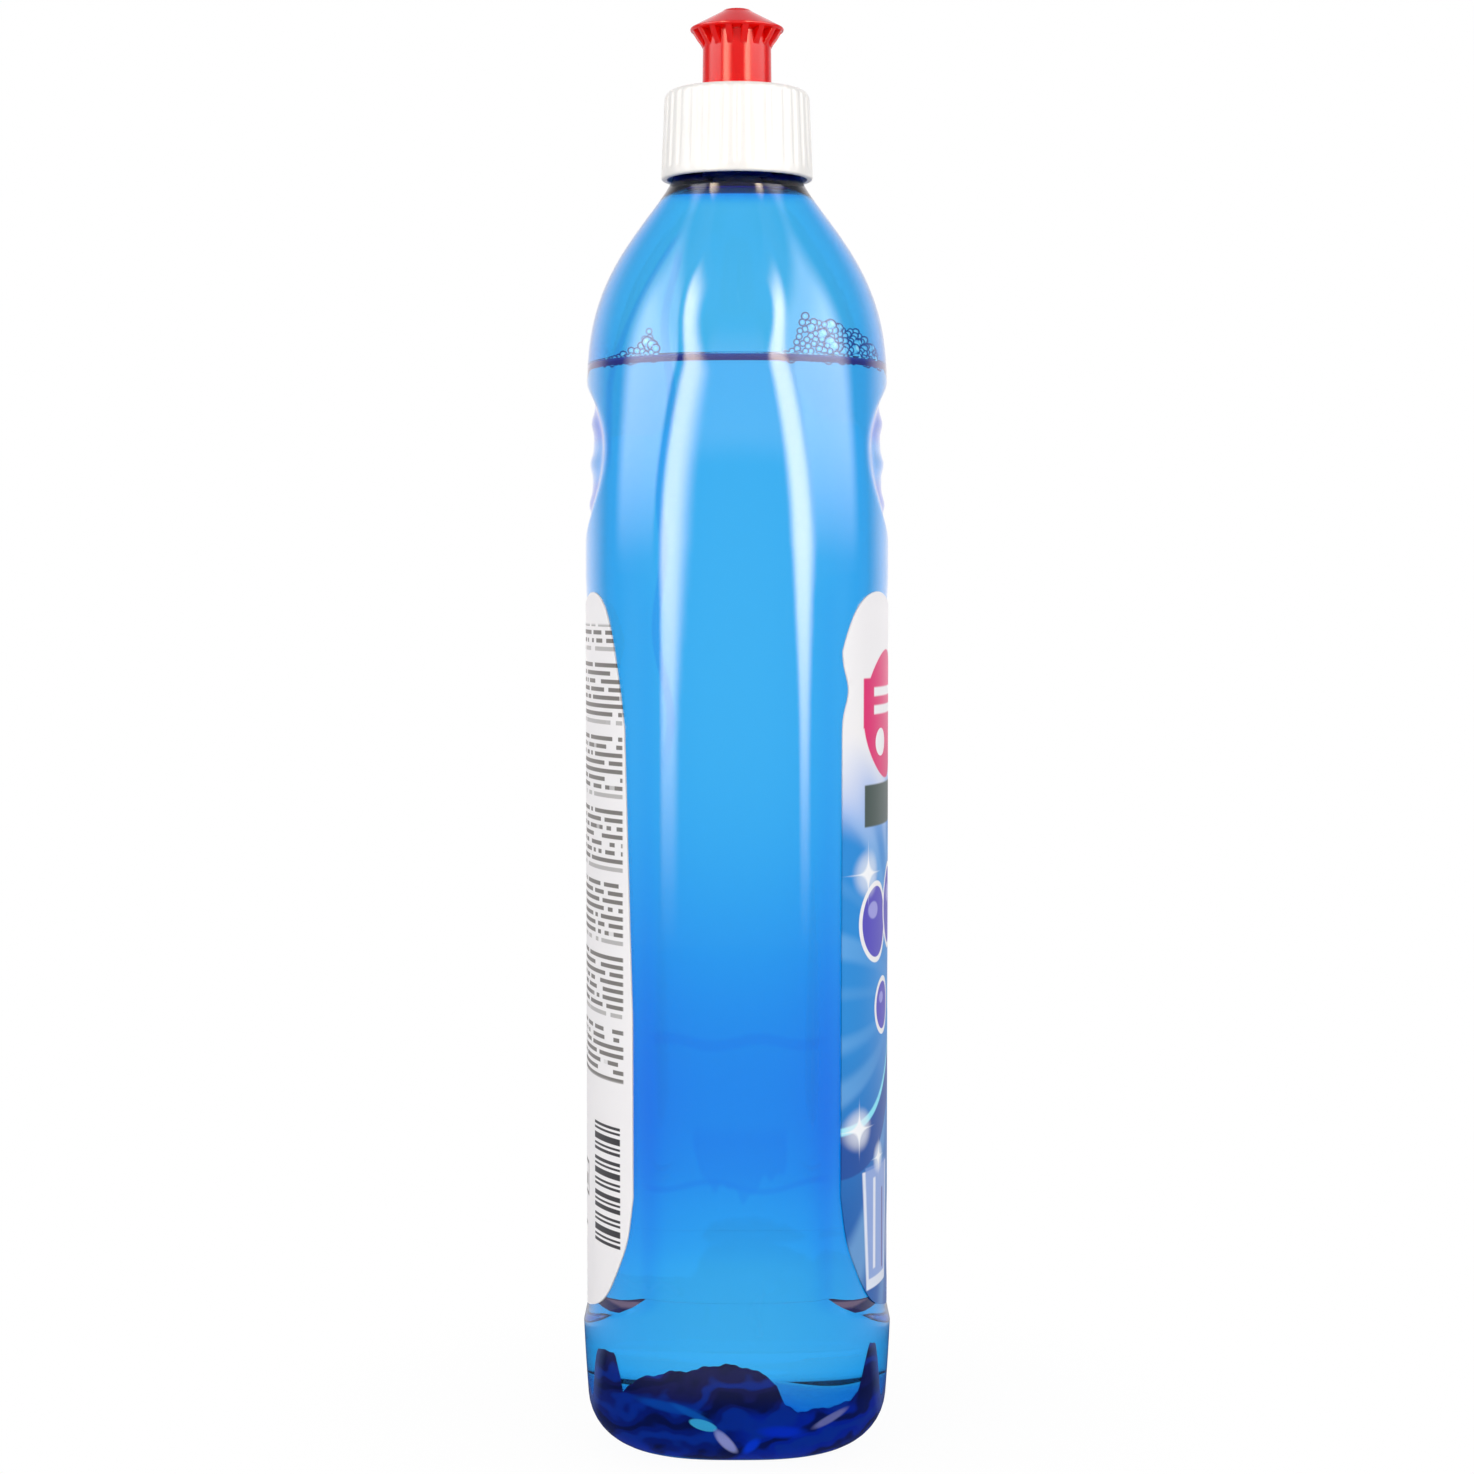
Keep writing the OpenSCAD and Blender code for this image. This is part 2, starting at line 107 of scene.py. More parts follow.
class LabelSizes(bpy.types.PropertyGroup):
    width: length("Label width", 0.080, "Width of each label")
    top: length("Label top", 0.171, "Height of the middle of the top edge")
    film: length("Film", 0.0002, "Thickness of the film")
    paper: colour("White", (0.90, 0.885, 0.90), "White of both labels")
    sky: colour("Sky blue", (0.015, 0.26, 0.70), "Blue of the front label")
    deep: colour("Deep blue", (0.01, 0.08, 0.36), "Dark blue of the ribbon")
    violet: colour("Violet", (0.09, 0.07, 0.52), "Fill of the outlined drops")
    magenta: colour("Magenta", (0.75, 0.02, 0.17), "Field near the top of the front label")
    slate: colour("Slate", (0.055, 0.085, 0.075), "Bar beside the magenta field")
    ink_and_painted_light: colour("Ink", (0.15, 0.14, 0.13), "Bars on the back label")


class CapSizes(bpy.types.PropertyGroup):
    flutes: count("Flutes", 36, "Grip flutes round the skirt", 12, 60)
    flute_depth: length("Flute depth", 0.00026, "Depth of a grip flute")
    plastic: colour("Cap plastic", (0.86, 0.845, 0.82), "Colour of the cap")
    washer: colour("Washer", (0.75, 0.75, 0.70), "Colour of the sealing washer")


class SpoutSizes(bpy.types.PropertyGroup):
    fins: count("Fins", 16, "Fins under the flange", 8, 24)
    fin: length("Fin thickness", 0.00135, "Thickness of a fin")
    plastic: colour("Spout plastic", (0.74, 0.003, 0.002), "Colour of the spout")


class StageSizes(bpy.types.PropertyGroup):
    distance: length("Camera distance", 0.630, "Distance of the camera from the bottle's axis", 0.1, 5.0)
    height: length("Camera height", 0.1755, "Height of the camera above the foot")
    tilt: FloatProperty(
        name="Camera tilt", description="Downward tilt of the camera", default=math.radians(2.897), subtype="ANGLE"
    )
    lens: number("Lens", 73.35, "Focal length on a 36 mm sensor", 10.0, 300.0)
    ambient: number("Ambient", 0.7, "Level of the light from all round", 0.0, 2.0)
    strips: number("Strip lights", 13.5, "Level of the two tall strip lights", 0.0, 50.0)
    key: number("Soft lamps", 2.7, "Power of the two soft lamps beside the camera", 0.0, 50.0)
    floor: colour("Floor", (0.93, 0.93, 0.93), "Colour of the floor")
    below: colour("Floor in gloss", (0.04, 0.05, 0.12), "Colour of the floor as gloss shows it")


def sizes():
    return bpy.context.scene.rinse_aid_sizes


class AllSizes(bpy.types.PropertyGroup):
    bottle: PointerProperty(type=BottleSizes)
    fill: PointerProperty(type=FillSizes)
    labels: PointerProperty(type=LabelSizes)
    cap: PointerProperty(type=CapSizes)
    spout: PointerProperty(type=SpoutSizes)
    stage: PointerProperty(type=StageSizes)


# Meshes


def soft(t):
    """Soft step from 0 to 1."""
    c = np.clip(t, 0, 1)
    return c * c * (3 - 2 * c)


def new_piece(name, verts, faces, materials, angle=35.0):
    """A mesh object at the origin from points in millimetres, smooth but for edges over the angle."""
    mesh = bpy.data.meshes.new(name)
    mesh.from_pydata((np.asarray(verts, float) * MM).tolist(), [], faces)
    mesh.update()
    for m in materials:
        mesh.materials.append(m)
    piece = bpy.data.objects.new(name, mesh)
    bpy.context.scene.collection.objects.link(piece)
    smooth(mesh, angle)
    return piece


def hand_over(piece, body, stands_for=None):
    """Hides the CAD node that the piece stands for, if one is given, and puts the piece on the body that it rides on.
    """
    if stands_for:
        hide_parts(stands_for)
    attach(piece, body)


def smooth(mesh, angle):
    mesh.shade_smooth()
    if angle:
        mesh.set_sharp_from_angle(angle=math.radians(angle))


def evaluated(piece, name, angle=35.0):
    """The piece with its modifiers made real, in place of the piece."""
    graph = bpy.context.evaluated_depsgraph_get()
    graph.update()
    mesh = bpy.data.meshes.new_from_object(piece.evaluated_get(graph))
    bpy.data.objects.remove(piece)
    mesh.name = name
    made = bpy.data.objects.new(name, mesh)
    bpy.context.scene.collection.objects.link(made)
    smooth(mesh, angle)
    return made


def joined(name, pieces):
    """One object from several, which are used up."""
    bpy.ops.object.select_all(action="DESELECT")
    for p in pieces:
        p.select_set(True)
    bpy.context.view_layer.objects.active = pieces[0]
    bpy.ops.object.join()
    pieces[0].name = name
    pieces[0].data.name = name
    return pieces[0]


def grid(rows, n, back_to_first=False, round_each=False):
    """Faces over rows of n points each. The last row may lead back to the first, and each row may close."""
    return [
        (j * n + i, j * n + (i + 1) % n, (j + 1) % rows * n + (i + 1) % n, (j + 1) % rows * n + i)
        for j in range(rows if back_to_first else rows - 1)
        for i in range(n if round_each else n - 1)
    ]


def skin_faces(rows, n):
    """Faces over rows of n points each, with a fan to an extra first point and an extra last point."""
    faces = [tuple(1 + corner for corner in face) for face in grid(rows, n, round_each=True)]
    last, top = 1 + rows * n, 1 + (rows - 1) * n
    faces += [(0, 1 + (i + 1) % n, 1 + i) for i in range(n)]
    return faces + [(last, top + i, top + (i + 1) % n) for i in range(n)]


def ringed(rows):
    """Points and faces of rings that follow each other round a closed section."""
    return rows.reshape(-1, 3), grid(*rows.shape[:2], True, True)


def fillet(corners, steps=5):
    """A polyline through [r, z, radius] corners, each rounded by its radius."""
    out = []
    for k, c in enumerate(corners):
        p = np.array(c[:2], float)
        radius = c[2] if len(c) > 2 else 0
        if radius == 0 or k in (0, len(corners) - 1):
            out.append(p)
            continue
        a, b = np.array(corners[k - 1][:2], float) - p, np.array(corners[k + 1][:2], float) - p
        la, lb = np.linalg.norm(a), np.linalg.norm(b)
        a, b = a / la, b / lb
        half = math.acos(max(-1, min(1, float(a @ b)))) / 2
        reach = min(radius / math.tan(half), 0.49 * la, 0.49 * lb)
        radius = reach * math.tan(half)
        middle = p + (a + b) / np.linalg.norm(a + b) * (radius / math.sin(half))
        start, end = p + a * reach - middle, p + b * reach - middle
        turn = math.atan2(start[0] * end[1] - start[1] * end[0], float(start @ end))
        for j in range(steps + 1):
            t = turn * j / steps
            out.append(middle + [
                start[0] * math.cos(t) - start[1] * math.sin(t),
                start[0] * math.sin(t) + start[1] * math.cos(t),
            ])
    return np.array(out)


def revolve(profile, n, closed=True):
    """Points and faces of a profile of [r, z] turned about the axis. A closed profile meets itself."""
    a = np.arange(n) * 2 * math.pi / n
    r, z = profile[:, 0][:, None], profile[:, 1][:, None]
    points = np.stack([r * np.cos(a), r * np.sin(a), z + 0 * a], -1).reshape(-1, 3)
    return points, grid(len(profile), n, closed, True)


def thread_ridge(root_r, crest_r, start_z, pitch, turns, phase, steps=40):
    """A helical ridge whose two ends run out into its wall."""
    n = int(steps * turns)
    shape = [(0, -0.95), (0.75, -0.55), (1, -0.25), (1, 0.25), (0.75, 0.55), (0, 0.95)]
    points, faces = [], []
    for i in range(n + 1):
        a = 2 * math.pi * i / steps + phase
        run = soft(min(i, n - i) / 5)
        z = start_z + pitch * i / steps
        for out, up in shape:
            r = root_r + (crest_r - root_r) * out * run
            points.append((r * math.cos(a), r * math.sin(a), z + up))
    m = len(shape)
    for i in range(n):
        for k in range(m):
            a, b = i * m + k, i * m + (k + 1) % m
            faces.append((a, a + m, b + m, b) if crest_r > root_r else (b, b + m, a + m, a))
    ends = [tuple(range(m)), tuple(reversed(range(n * m, n * m + m)))]
    faces += ends if crest_r > root_r else [tuple(reversed(e)) for e in ends]
    return points, faces


# The blown form


class Form:
    """The bottle's outside in millimetres, by the same rules as the part."""

    heel_z, heel_swell, heel_draft = 21.9, 0.85, 1.5
    foot_round_d, foot_round_w, foot_ring = 8, 12, 2.6
    drop_d, drop_w = 46.3, 80
    sink, panel_w, fade = 0.15, 88, 8
    ledge_h, ledge_rise, panel_top, panel_edge = 3.0, 10.6, 170, 3.5
    scoop_z, scoop_h, scoop_w, scoop_depth, scoop_edge = 200.4, 34, 64, 1.7, 4
    ribs, rib_h = 3, 0.6
    square = 2.8
    neck_r, neck_wall_r, bead_r, bore_r = 13.3, 12.6, 13.9, 10.8
    curve, fall = 2.8, 1.45
    root_h = 5
    thread_up, thread_pitch, thread_turns = 4.1, 4.2, 1.3
    seat_gap, washer_t = 0.2, 1.0

    def __init__(self):
        b = sizes().bottle
        self.half_w, self.half_d = b.width / MM / 2, b.depth / MM / 2
        self.neck_z, self.neck_top = b.neck_root / MM, b.neck_top / MM
        self.wall, self.punt = b.wall / MM, b.punt / MM
        self.thick, self.thick_z = b.thick, b.thick_z / MM
        self.d_z, self.w_z = self.neck_z - self.drop_d, self.neck_z - self.drop_w
        self.smile = self.ledge_rise / self.half_w**2
        self.panel_z = self.heel_z + self.ledge_h
        self.bead_z = self.neck_z + 0.7
        self.root_wall = self.neck_r - self.bore_r - 0.3

    def domed(self, half, z, z0):
        """Half a width that narrows from z0 up to the neck's root."""
        u = np.clip((z - z0) / (self.neck_z - z0), 0, 1)
        return self.neck_r + (half - self.neck_r) * (1 - u**self.curve) ** self.fall

    def heel_in(self, z):
        """How far the foot draws in below the heel."""
        return self.heel_draft * np.maximum(0, 1 - z / self.heel_z) ** 1.2

    def swell(self, z):
        """How far the wide faces stand out at the heel."""
        return self.heel_swell * np.maximum(0, 1 - np.maximum(0, z - self.heel_z) / (self.d_z - self.heel_z))

    def width_at(self, z):
        return self.domed(self.half_w, z, self.w_z) - self.heel_in(z)

    def depth_at(self, z):
        return self.domed(self.half_d, z, self.d_z) + self.swell(z) - self.heel_in(z)

    def power_at(self, z):
        """Roundness of a section: 2 is an ellipse, and more is squarer."""
        return self.square - (self.square - 2) * soft((z - self.w_z) / (0.8 * self.drop_w))

    def face_in(self, x, z):
        """How far a wide face sinks in: its label panel, then its ribbed scoop."""
        panel = (
            (self.swell(z) + self.sink)
            * soft((z - self.heel_z) / self.ledge_h)
            * (1 - soft((z - self.panel_top) / self.fade))
            * (1 - soft((np.abs(x) - self.panel_w / 2 + self.panel_edge) / self.panel_edge))
        )
        u, v = 2 * x / self.scoop_w, 2 * (z - self.scoop_z) / self.scoop_h
        edge = 1 - np.sqrt(u * u + v * v)
        floor = self.scoop_depth * (0.85 + 0.2 * v)
        wave = np.sin(math.pi * (self.ribs + 1) * (v / 2 + 0.5) + math.pi / 2)
        rib = self.rib_h * wave**4 * soft((0.5 - np.abs(v / 2)) * 8)
        return panel + soft(edge * self.scoop_edge) * np.maximum(0, floor - rib * soft(edge * self.scoop_edge / 2))

    def bend(self, z):
        """Share of the upward bend that the ledge has toward the narrow sides."""
        return soft((z - 0.6 * self.heel_z) / (0.4 * self.heel_z)) * (1 - soft((z - self.panel_z - 2) / 22))

    def lean(self, at, z):
        """Length along a sloping wall for a length straight in."""
        s = at(z - 0.5) - at(z + 0.5)
        return np.sqrt(1 + np.minimum(4, s * s))

    def wall_at(self, z):
        """Thickness of the wall: thicker at the neck's root and in a broad band above the heel."""
        away = (z - self.thick_z) / np.where(z > self.thick_z, 41, 28)
        body = self.wall * (1 + self.thick * np.exp(-away * away) - 0.16 * soft((z - 215) / 15))
        return body + (self.root_wall - self.wall) * soft(1 - (self.neck_z - z) / self.root_h) ** 1.5

    def wall_rings(self, z, inset):
        """Rings [z, half-width, half-depth, power, share of the sinking] of the body, set in by inset."""
        return np.stack([
            z,
            self.width_at(z) - inset * self.lean(self.width_at, z),
            self.depth_at(z) - inset * self.lean(self.depth_at, z),
            self.power_at(z),
            np.ones_like(z),
        ], 1)

    def foot_rings(self, inset, steps=22):
        """Rings from the middle of the push-up out to the top of the foot's rounding."""
        w, d = self.width_at(0.0) - self.foot_round_w, self.depth_at(0.0) - self.foot_round_d
        rings = [
            [self.punt * (1 - s**2.4) + inset, s * (w - self.foot_ring), s * (d - self.foot_ring), self.square, 1]
            for s in np.linspace(0.04, 1, steps)
        ]
        for a in np.linspace(0, math.pi / 2, 12):
            z = self.foot_round_d * (1 - math.cos(a))
            rings.append([
                self.foot_round_d - (self.foot_round_d - inset) * math.cos(a),
                self.width_at(z) - self.foot_round_w + (self.foot_round_w - inset) * math.sin(a),
                self.depth_at(z) - self.foot_round_d + (self.foot_round_d - inset) * math.sin(a),
                self.square,
                1,
            ])
        return np.array(rings)

    def skin(self, a, height, inset):
        """Points at angles a and true heights, set in from the outside of the body."""
        height = height + np.zeros_like(a)
        z = height
        for _ in range(25):
            lean = np.clip((self.foot_round_d - z) / (self.foot_round_d - inset), 0, 1)
            curl = 1 - np.sqrt(1 - lean * lean)
            w = self.width_at(z) - inset - (self.foot_round_w - inset) * curl
            d = self.depth_at(z) - inset - (self.foot_round_d - inset) * curl
            p, c, s = self.power_at(z), np.cos(a), np.sin(a)
            r = ((np.abs(c) / w) ** p + (np.abs(s) / d) ** p) ** (-1 / p)
            x, y = r * c, r * s
            z = z + 0.4 * (height - z - self.smile * x * x * self.bend(z))
        y = y - np.sign(y) * np.minimum(np.abs(y), self.face_in(x, z))
        return np.stack([x, y, height], -1)

    def sheet(self, a, low, high, steps, insets):
        """Rings of a thin closed sheet under the skin, between two edges that are given at the angles a."""
        z = low + np.linspace(0, 1, steps)[:, None] * (high - low)
        outer, inner = (self.skin(a + 0 * z, z, inset) for inset in insets)
        return np.concatenate([outer, inner[::-1]])

    def heights(self, top):
        """Heights of the body's rings up to top, closer together where the form is busy."""
        spans = [
            (8.6, 14, 5), (14, 30, 24), (30, 60, 12), (60, 168, 14), (168, 183, 10), (183, 218, 52), (218, 260.3, 44),
        ]
        z = np.concatenate([np.linspace(a, b, k, endpoint=False) for a, b, k in spans])
        return z[z < top - 0.2]

    def points(self, rings, n):
        """All the points of a stack of rings, n to a ring."""
        z, w, d, p, take = (rings[:, k][:, None] for k in range(5))
        a = np.arange(n) * 2 * math.pi / n
        c, s = np.cos(a), np.sin(a)
        r = ((np.abs(c) / w) ** p + (np.abs(s) / d) ** p) ** (-1 / p)
        x, y = r * c, r * s
        y = y - np.sign(y) * np.minimum(np.abs(y), take * self.face_in(x, z))
        z = z + self.smile * x * x * self.bend(z) * take
        return np.stack([x, y, z], -1).reshape(-1, 3)


# Materials


def node(tree, kind, inputs=None, **settings):
    """A new node with its settings, and with each input linked, where it is given a socket, or set to a value."""
    made = tree.nodes.new(kind)
    for key, value in settings.items():
        setattr(made, key, value)
    for key, value in (inputs or {}).items():
        value = getattr(value, "socket", value)
        if isinstance(value, bpy.types.NodeSocket):
            tree.links.new(value, made.inputs[key])
        else:
            made.inputs[key].default_value = value
    return made


def material(name, volume=None, **values):
    """A Principled material with its values set on its own sockets, and a tint inside it where volume is given."""
    m = bpy.data.materials.new(name)
    m.use_nodes = True
    tree = m.node_tree
    for key, value in values.items():
        socket = tree.nodes["Principled BSDF"].inputs[key.replace("_", " ")]
        socket.default_value = (*value, 1) if socket.type == "RGBA" else value
    if volume:
        tint = node(tree, "ShaderNodeVolumeAbsorption", {"Color": (*volume[0], 1), "Density": volume[1]})
        tree.links.new(tint.outputs[0], tree.nodes["Material Output"].inputs["Volume"])
    return m


class Wire:
    """A number that a node tree works out, so that a pattern can be written as a sum."""

    def __init__(self, tree, socket):
        self.tree, self.socket = tree, socket

    def math(self, operation, *others):
        made = node(self.tree, "ShaderNodeMath", dict(enumerate((self, *others))), operation=operation)
        return Wire(self.tree, made.outputs[0])

    def __add__(self, other):
        return self.math("ADD", other)

    def __sub__(self, other):
        return self.math("SUBTRACT", other)

    def __rsub__(self, other):
        return self.math("MULTIPLY", -1.0).math("ADD", other)

    def __mul__(self, other):
        return self.math("MULTIPLY", other)

    def __truediv__(self, other):
        return self.math("DIVIDE", other)

    def __pow__(self, other):
        return self.math("POWER", other)

    def abs(self):
        return self.math("ABSOLUTE")

    def most(self, other):
        return self.math("MAXIMUM", other)

    def sin(self):
        return self.math("SINE")

    def step(self, low, high):
        """Soft step from 0 at low to 1 at high, which may lie the other way round."""
        ends = (high, low, 1, 0) if low > high else (low, high, 0, 1)
        inputs = dict(enumerate((self, *ends)))
        made = node(self.tree, "ShaderNodeMapRange", inputs, interpolation_type="SMOOTHSTEP")
        return Wire(self.tree, made.outputs["Result"])


class Paint:
    """Colours laid over each other by masks."""

    def __init__(self, tree, base):
        self.tree = tree
        self.socket = tree.nodes.new("ShaderNodeRGB").outputs[0]
        self.socket.default_value = (*base, 1)

    def over(self, mask, shade):
        """Lays a colour or another painting over what is there."""
        shade = shade if isinstance(shade, Paint) else (*shade, 1)
        made = node(self.tree, "ShaderNodeMix", {"Factor": mask, "A": self.socket, "B": shade}, data_type="RGBA")
        self.socket = made.outputs["Result"]

    def onto(self, m, use="Base Color"):
        """Gives the painting to the material."""
        self.tree.links.new(self.socket, m.node_tree.nodes["Principled BSDF"].inputs[use])
        return m


def coordinates(tree):
    """Object X, Y and Z in millimetres."""
    place = node(tree, "ShaderNodeTexCoord")
    parts = node(tree, "ShaderNodeSeparateXYZ", {0: place.outputs["Object"]})
    return [Wire(tree, parts.outputs[k]) * (1 / MM) for k in range(3)]


def noise(tree, scale, detail=2.0, stretch=(1, 1, 1)):
    place = node(tree, "ShaderNodeTexCoord")
    spread = node(tree, "ShaderNodeMapping", {"Vector": place.outputs["Object"], "Scale": stretch})
    grain = node(tree, "ShaderNodeTexNoise", {"Vector": spread.outputs[0], "Scale": scale, "Detail": detail})
    return Wire(tree, grain.outputs["Fac"])


def bump(m, height, distance, strength):
    tree = m.node_tree
    relief = node(tree, "ShaderNodeBump", {"Height": height, "Distance": distance, "Strength": strength})
    tree.links.new(relief.outputs[0], tree.nodes["Principled BSDF"].inputs["Normal"])


# Geometry Nodes


def node_tree(name, inputs):
    """An empty geometry tree with named inputs, given as (name, kind)."""
    tree = bpy.data.node_groups.new(name, "GeometryNodeTree")
    tree.interface.new_socket("Geometry", in_out="INPUT", socket_type="NodeSocketGeometry")
    for label, kind in inputs:
        tree.interface.new_socket(label, in_out="INPUT", socket_type="NodeSocket" + kind)
    tree.interface.new_socket("Geometry", in_out="OUTPUT", socket_type="NodeSocketGeometry")
    return tree, tree.nodes.new("NodeGroupInput"), tree.nodes.new("NodeGroupOutput")


def chain(tree, *nodes):
    """Links the first output of each node to the first input of the next."""
    for a, b in zip(nodes, nodes[1:]):
        tree.links.new(a.outputs[0], b.inputs[0])


def apply_tree(piece, tree, values):
    """Puts the tree on the piece, with each named input set by its identifier."""
    modifier = piece.modifiers.new(tree.name, "NODES")
    modifier.node_group = tree
    for item in tree.interface.items_tree:
        if item.in_out == "INPUT" and item.name in values:
            modifier[item.identifier] = values[item.name]


def ring_tree():
    """Repeats a sector round the axis and merges the seams."""
    tree, start, end = node_tree(
        "repeat_round_axis", [("Count", "Int"), ("Merge", "Float"), ("Material", "Material")]
    )
    given = start.outputs
    points = node(tree, "GeometryNodeMeshLine", {"Count": given["Count"], "Offset": (0, 0, 0)})
    index = Wire(tree, node(tree, "GeometryNodeInputIndex").outputs[0])
    angle = index / Wire(tree, given["Count"]) * (2 * math.pi)
    turn = node(tree, "ShaderNodeCombineXYZ", {"Z": angle})
    place = node(
        tree, "GeometryNodeInstanceOnPoints", {"Instance": given["Geometry"], "Rotation": turn.outputs[0]}
    )
    real = node(tree, "GeometryNodeRealizeInstances")
    merge = node(tree, "GeometryNodeMergeByDistance", {"Distance": given["Merge"]})
    paint = node(tree, "GeometryNodeSetMaterial", {"Material": given["Material"]})
    chain(tree, points, place, real, merge, paint, end)
    return tree


def foam_tree():
    """Scatters bubbles of many sizes over a patch."""
    tree, start, end = node_tree(
        "foam_bubbles",
        [("Spacing", "Float"), ("Smallest", "Float"), ("Largest", "Float"), ("Seed", "Int"), ("Material", "Material")],
    )
    given = start.outputs
    scatter = node(
        tree,
        "GeometryNodeDistributePointsOnFaces",
        {"Distance Min": given["Spacing"], "Density Max": 5e6, "Seed": given["Seed"]},
        distribute_method="POISSON",
    )
    ball = node(tree, "GeometryNodeMeshIcoSphere", {"Radius": 1.0, "Subdivisions": 2})
    # Most bubbles are small, and a few are large
    dice = node(tree, "FunctionNodeRandomValue", {"Seed": given["Seed"]}, data_type="FLOAT")
    rare = Wire(tree, next(s for s in dice.outputs if s.enabled)) ** 3.5
    size = node(
        tree, "ShaderNodeMapRange", {"Value": rare, "To Min": given["Smallest"], "To Max": given["Largest"]}
    )
    place = node(
        tree, "GeometryNodeInstanceOnPoints", {"Instance": ball.outputs["Mesh"], "Scale": size.outputs["Result"]}
    )
    real = node(tree, "GeometryNodeRealizeInstances")
    paint = node(tree, "GeometryNodeSetMaterial", {"Material": given["Material"]})
    chain(tree, start, scatter, place, real, paint, end)
    return tree


# Bottle, fill and foam

AROUND = 192


class RINSE_OT_bottle(bpy.types.Operator):
    """Blow the bottle: foot with push-up, label panels, ribbed scoops, shoulder and threaded neck"""

    bl_idname = "rinse_aid.bottle"
    bl_label = "Bottle"

    def execute(self, context):
        f, b = Form(), sizes().bottle
        plastic = material(
            "blue_blown_plastic",
            volume=(b.tint, b.density),
            Base_Color=(1, 1, 1),
            Roughness=0.0,
            IOR=1.5,
            Transmission_Weight=1.0,
        )
        self.uneven(f, plastic)
        bore = f.neck_r - f.root_wall
        neck = fillet([
            [f.neck_r, f.neck_z + 0.1],
            [f.neck_r, f.bead_z, 0.3],
            [f.bead_r - 0.3, f.bead_z, 0.1],
            [f.bead_r, f.bead_z + 0.3, 0.2],
            [f.bead_r, f.bead_z + 1.6, 0.3],
            [f.neck_wall_r, f.bead_z + 2.1, 0.4],
            [f.neck_wall_r, f.neck_top - 0.5, 0.3],
            [f.neck_wall_r - 0.5, f.neck_top, 0.3],
            [f.bore_r + 0.4, f.neck_top, 0.3],
            [f.bore_r, f.neck_top - 0.4, 0.2],
            [f.bore_r, f.bead_z + 1.2, 0.3],
            [bore, f.neck_z + 0.3, 0.3],
            [bore, f.neck_z - 0.3],
        ], 3)
        down = f.heights(f.neck_z - 1)[::-1]
        rings = np.concatenate([
            f.foot_rings(0),
            f.wall_rings(f.heights(f.neck_z), 0),
            np.array([[z, r, r, 2, 0] for r, z in neck]),
            f.wall_rings(down, f.wall_at(down)),
            f.foot_rings(f.wall)[::-1],
        ])
        points = np.concatenate([[[0, 0, f.punt]], f.points(rings, AROUND), [[0, 0, f.punt + f.wall]]])
        shell = new_piece("bottle_shell", points, skin_faces(len(rings), AROUND), [plastic], 40)
        thread = thread_ridge(
            f.neck_wall_r - 0.3, f.neck_wall_r + 0.6, f.bead_z + f.thread_up, f.thread_pitch, f.thread_turns, 0
        )
        ridge = new_piece("neck_thread", *thread, [plastic])
        hand_over(joined("blown_bottle", [shell, ridge]), "filled_bottle", "bottle")
        self.lay_foot_shade(f)
        self.ledge_darts(f)
        return {"FINISHED"}

    def uneven(self, f, plastic):
        """Tints the plastic deeper: painted shade in the ribs of the scoops, where light bends through them, and a
        deeper tint where the plastic is thicker along seams, a tongue and two bands.
        """
        x, y, z = coordinates(plastic.node_tree)
        paint = Paint(plastic.node_tree, (1, 1, 1))
        near = x.step(-14, -18)
        # Painted shade in the ribs, where light bends through them, and a little over the whole scoop
        across, up = x / (f.scoop_w / 2), (z - f.scoop_z) / (f.scoop_h / 2)
        inside = (1.0 - across * across - up * up).step(0.12, 0.3) * y.abs().step(19, 22)
        rib = ((up * 2 * math.pi).math("COSINE") * -1.0).step(-0.6, 0.6)
        paint.over(inside * rib * 0.9, (0.10, 0.22, 0.80))
        paint.over(inside * 0.3, (0.35, 0.60, 0.95))
        # A seam that wanders down the near side, and one that follows the shoulder
        bend = (z * 0.2).sin() * 0.9 + (z * 0.11 + 1).sin() * 0.8
        seam = (y - 14.6 - bend + z.step(205, 240) * 2.6).abs().step(1.0, 0.55) * z.step(136, 150) * z.step(244, 240)
        fall = (z - 214).most(0.0) ** 1.5 * 0.075
        edge = (y - 25.4 + fall).abs().step(0.9, 0.4) * z.step(196, 204) * z.step(248, 243)
        paint.over((seam.most(edge) * near) * 0.5, (0.45, 0.72, 0.96))
        # A tongue with a ragged edge
        ragged = (y * 0.9).sin() * 1.4 + (y * 2.3 + 1).sin() * 0.7
        off = (y + 0.6).abs()
        tongue = off.step(9.6, 8.8) * (z - 56 - ragged + (off * 0.3) ** 2.0 * -0.9).step(-0.4, 0.4)
        paint.over((tongue * z.step(71, 66) * near) * 0.5, (0.62, 0.82, 0.97))
        # Two faint bands across
        band = (z - 86 + (y * 0.35).sin() * 0.7).abs().step(1.6, 0.6) * y.abs().step(18, 15)
        low = (z - 57.5 - (y * 0.3).sin()).abs().step(0.9, 0.3) * y.abs().step(19, 16)
        paint.over((band.most(low) * near) * 0.45, (0.55, 0.80, 0.97))
        paint.onto(plastic)

    # Upper edge of the painted shade in the foot, on the side that faces the camera: [y, height]
    mound = np.array([
        (-31, 10), (-29.2, 17), (-27.5, 22.5), (-26.3, 23.2), (-25.2, 19), (-24.2, 14.6), (-22.5, 12.8),
        (-17, 12.6), (-12, 12.4), (-9.5, 13.8), (-8.6, 15.6), (-7.9, 18.0), (-5.6, 20.0), (-2, 21.6),
        (2, 22.2), (6, 21.8), (8, 21.0), (13, 20.4), (18.4, 18.7), (21.6, 16.4), (22.6, 14.6),
        (23.0, 17.2), (24.2, 21.8), (26.5, 22.0), (28.6, 21.5), (30, 15), (31, 10),
    ])

    foot_low, foot_insets = 0.7, (0.06, 0.22)

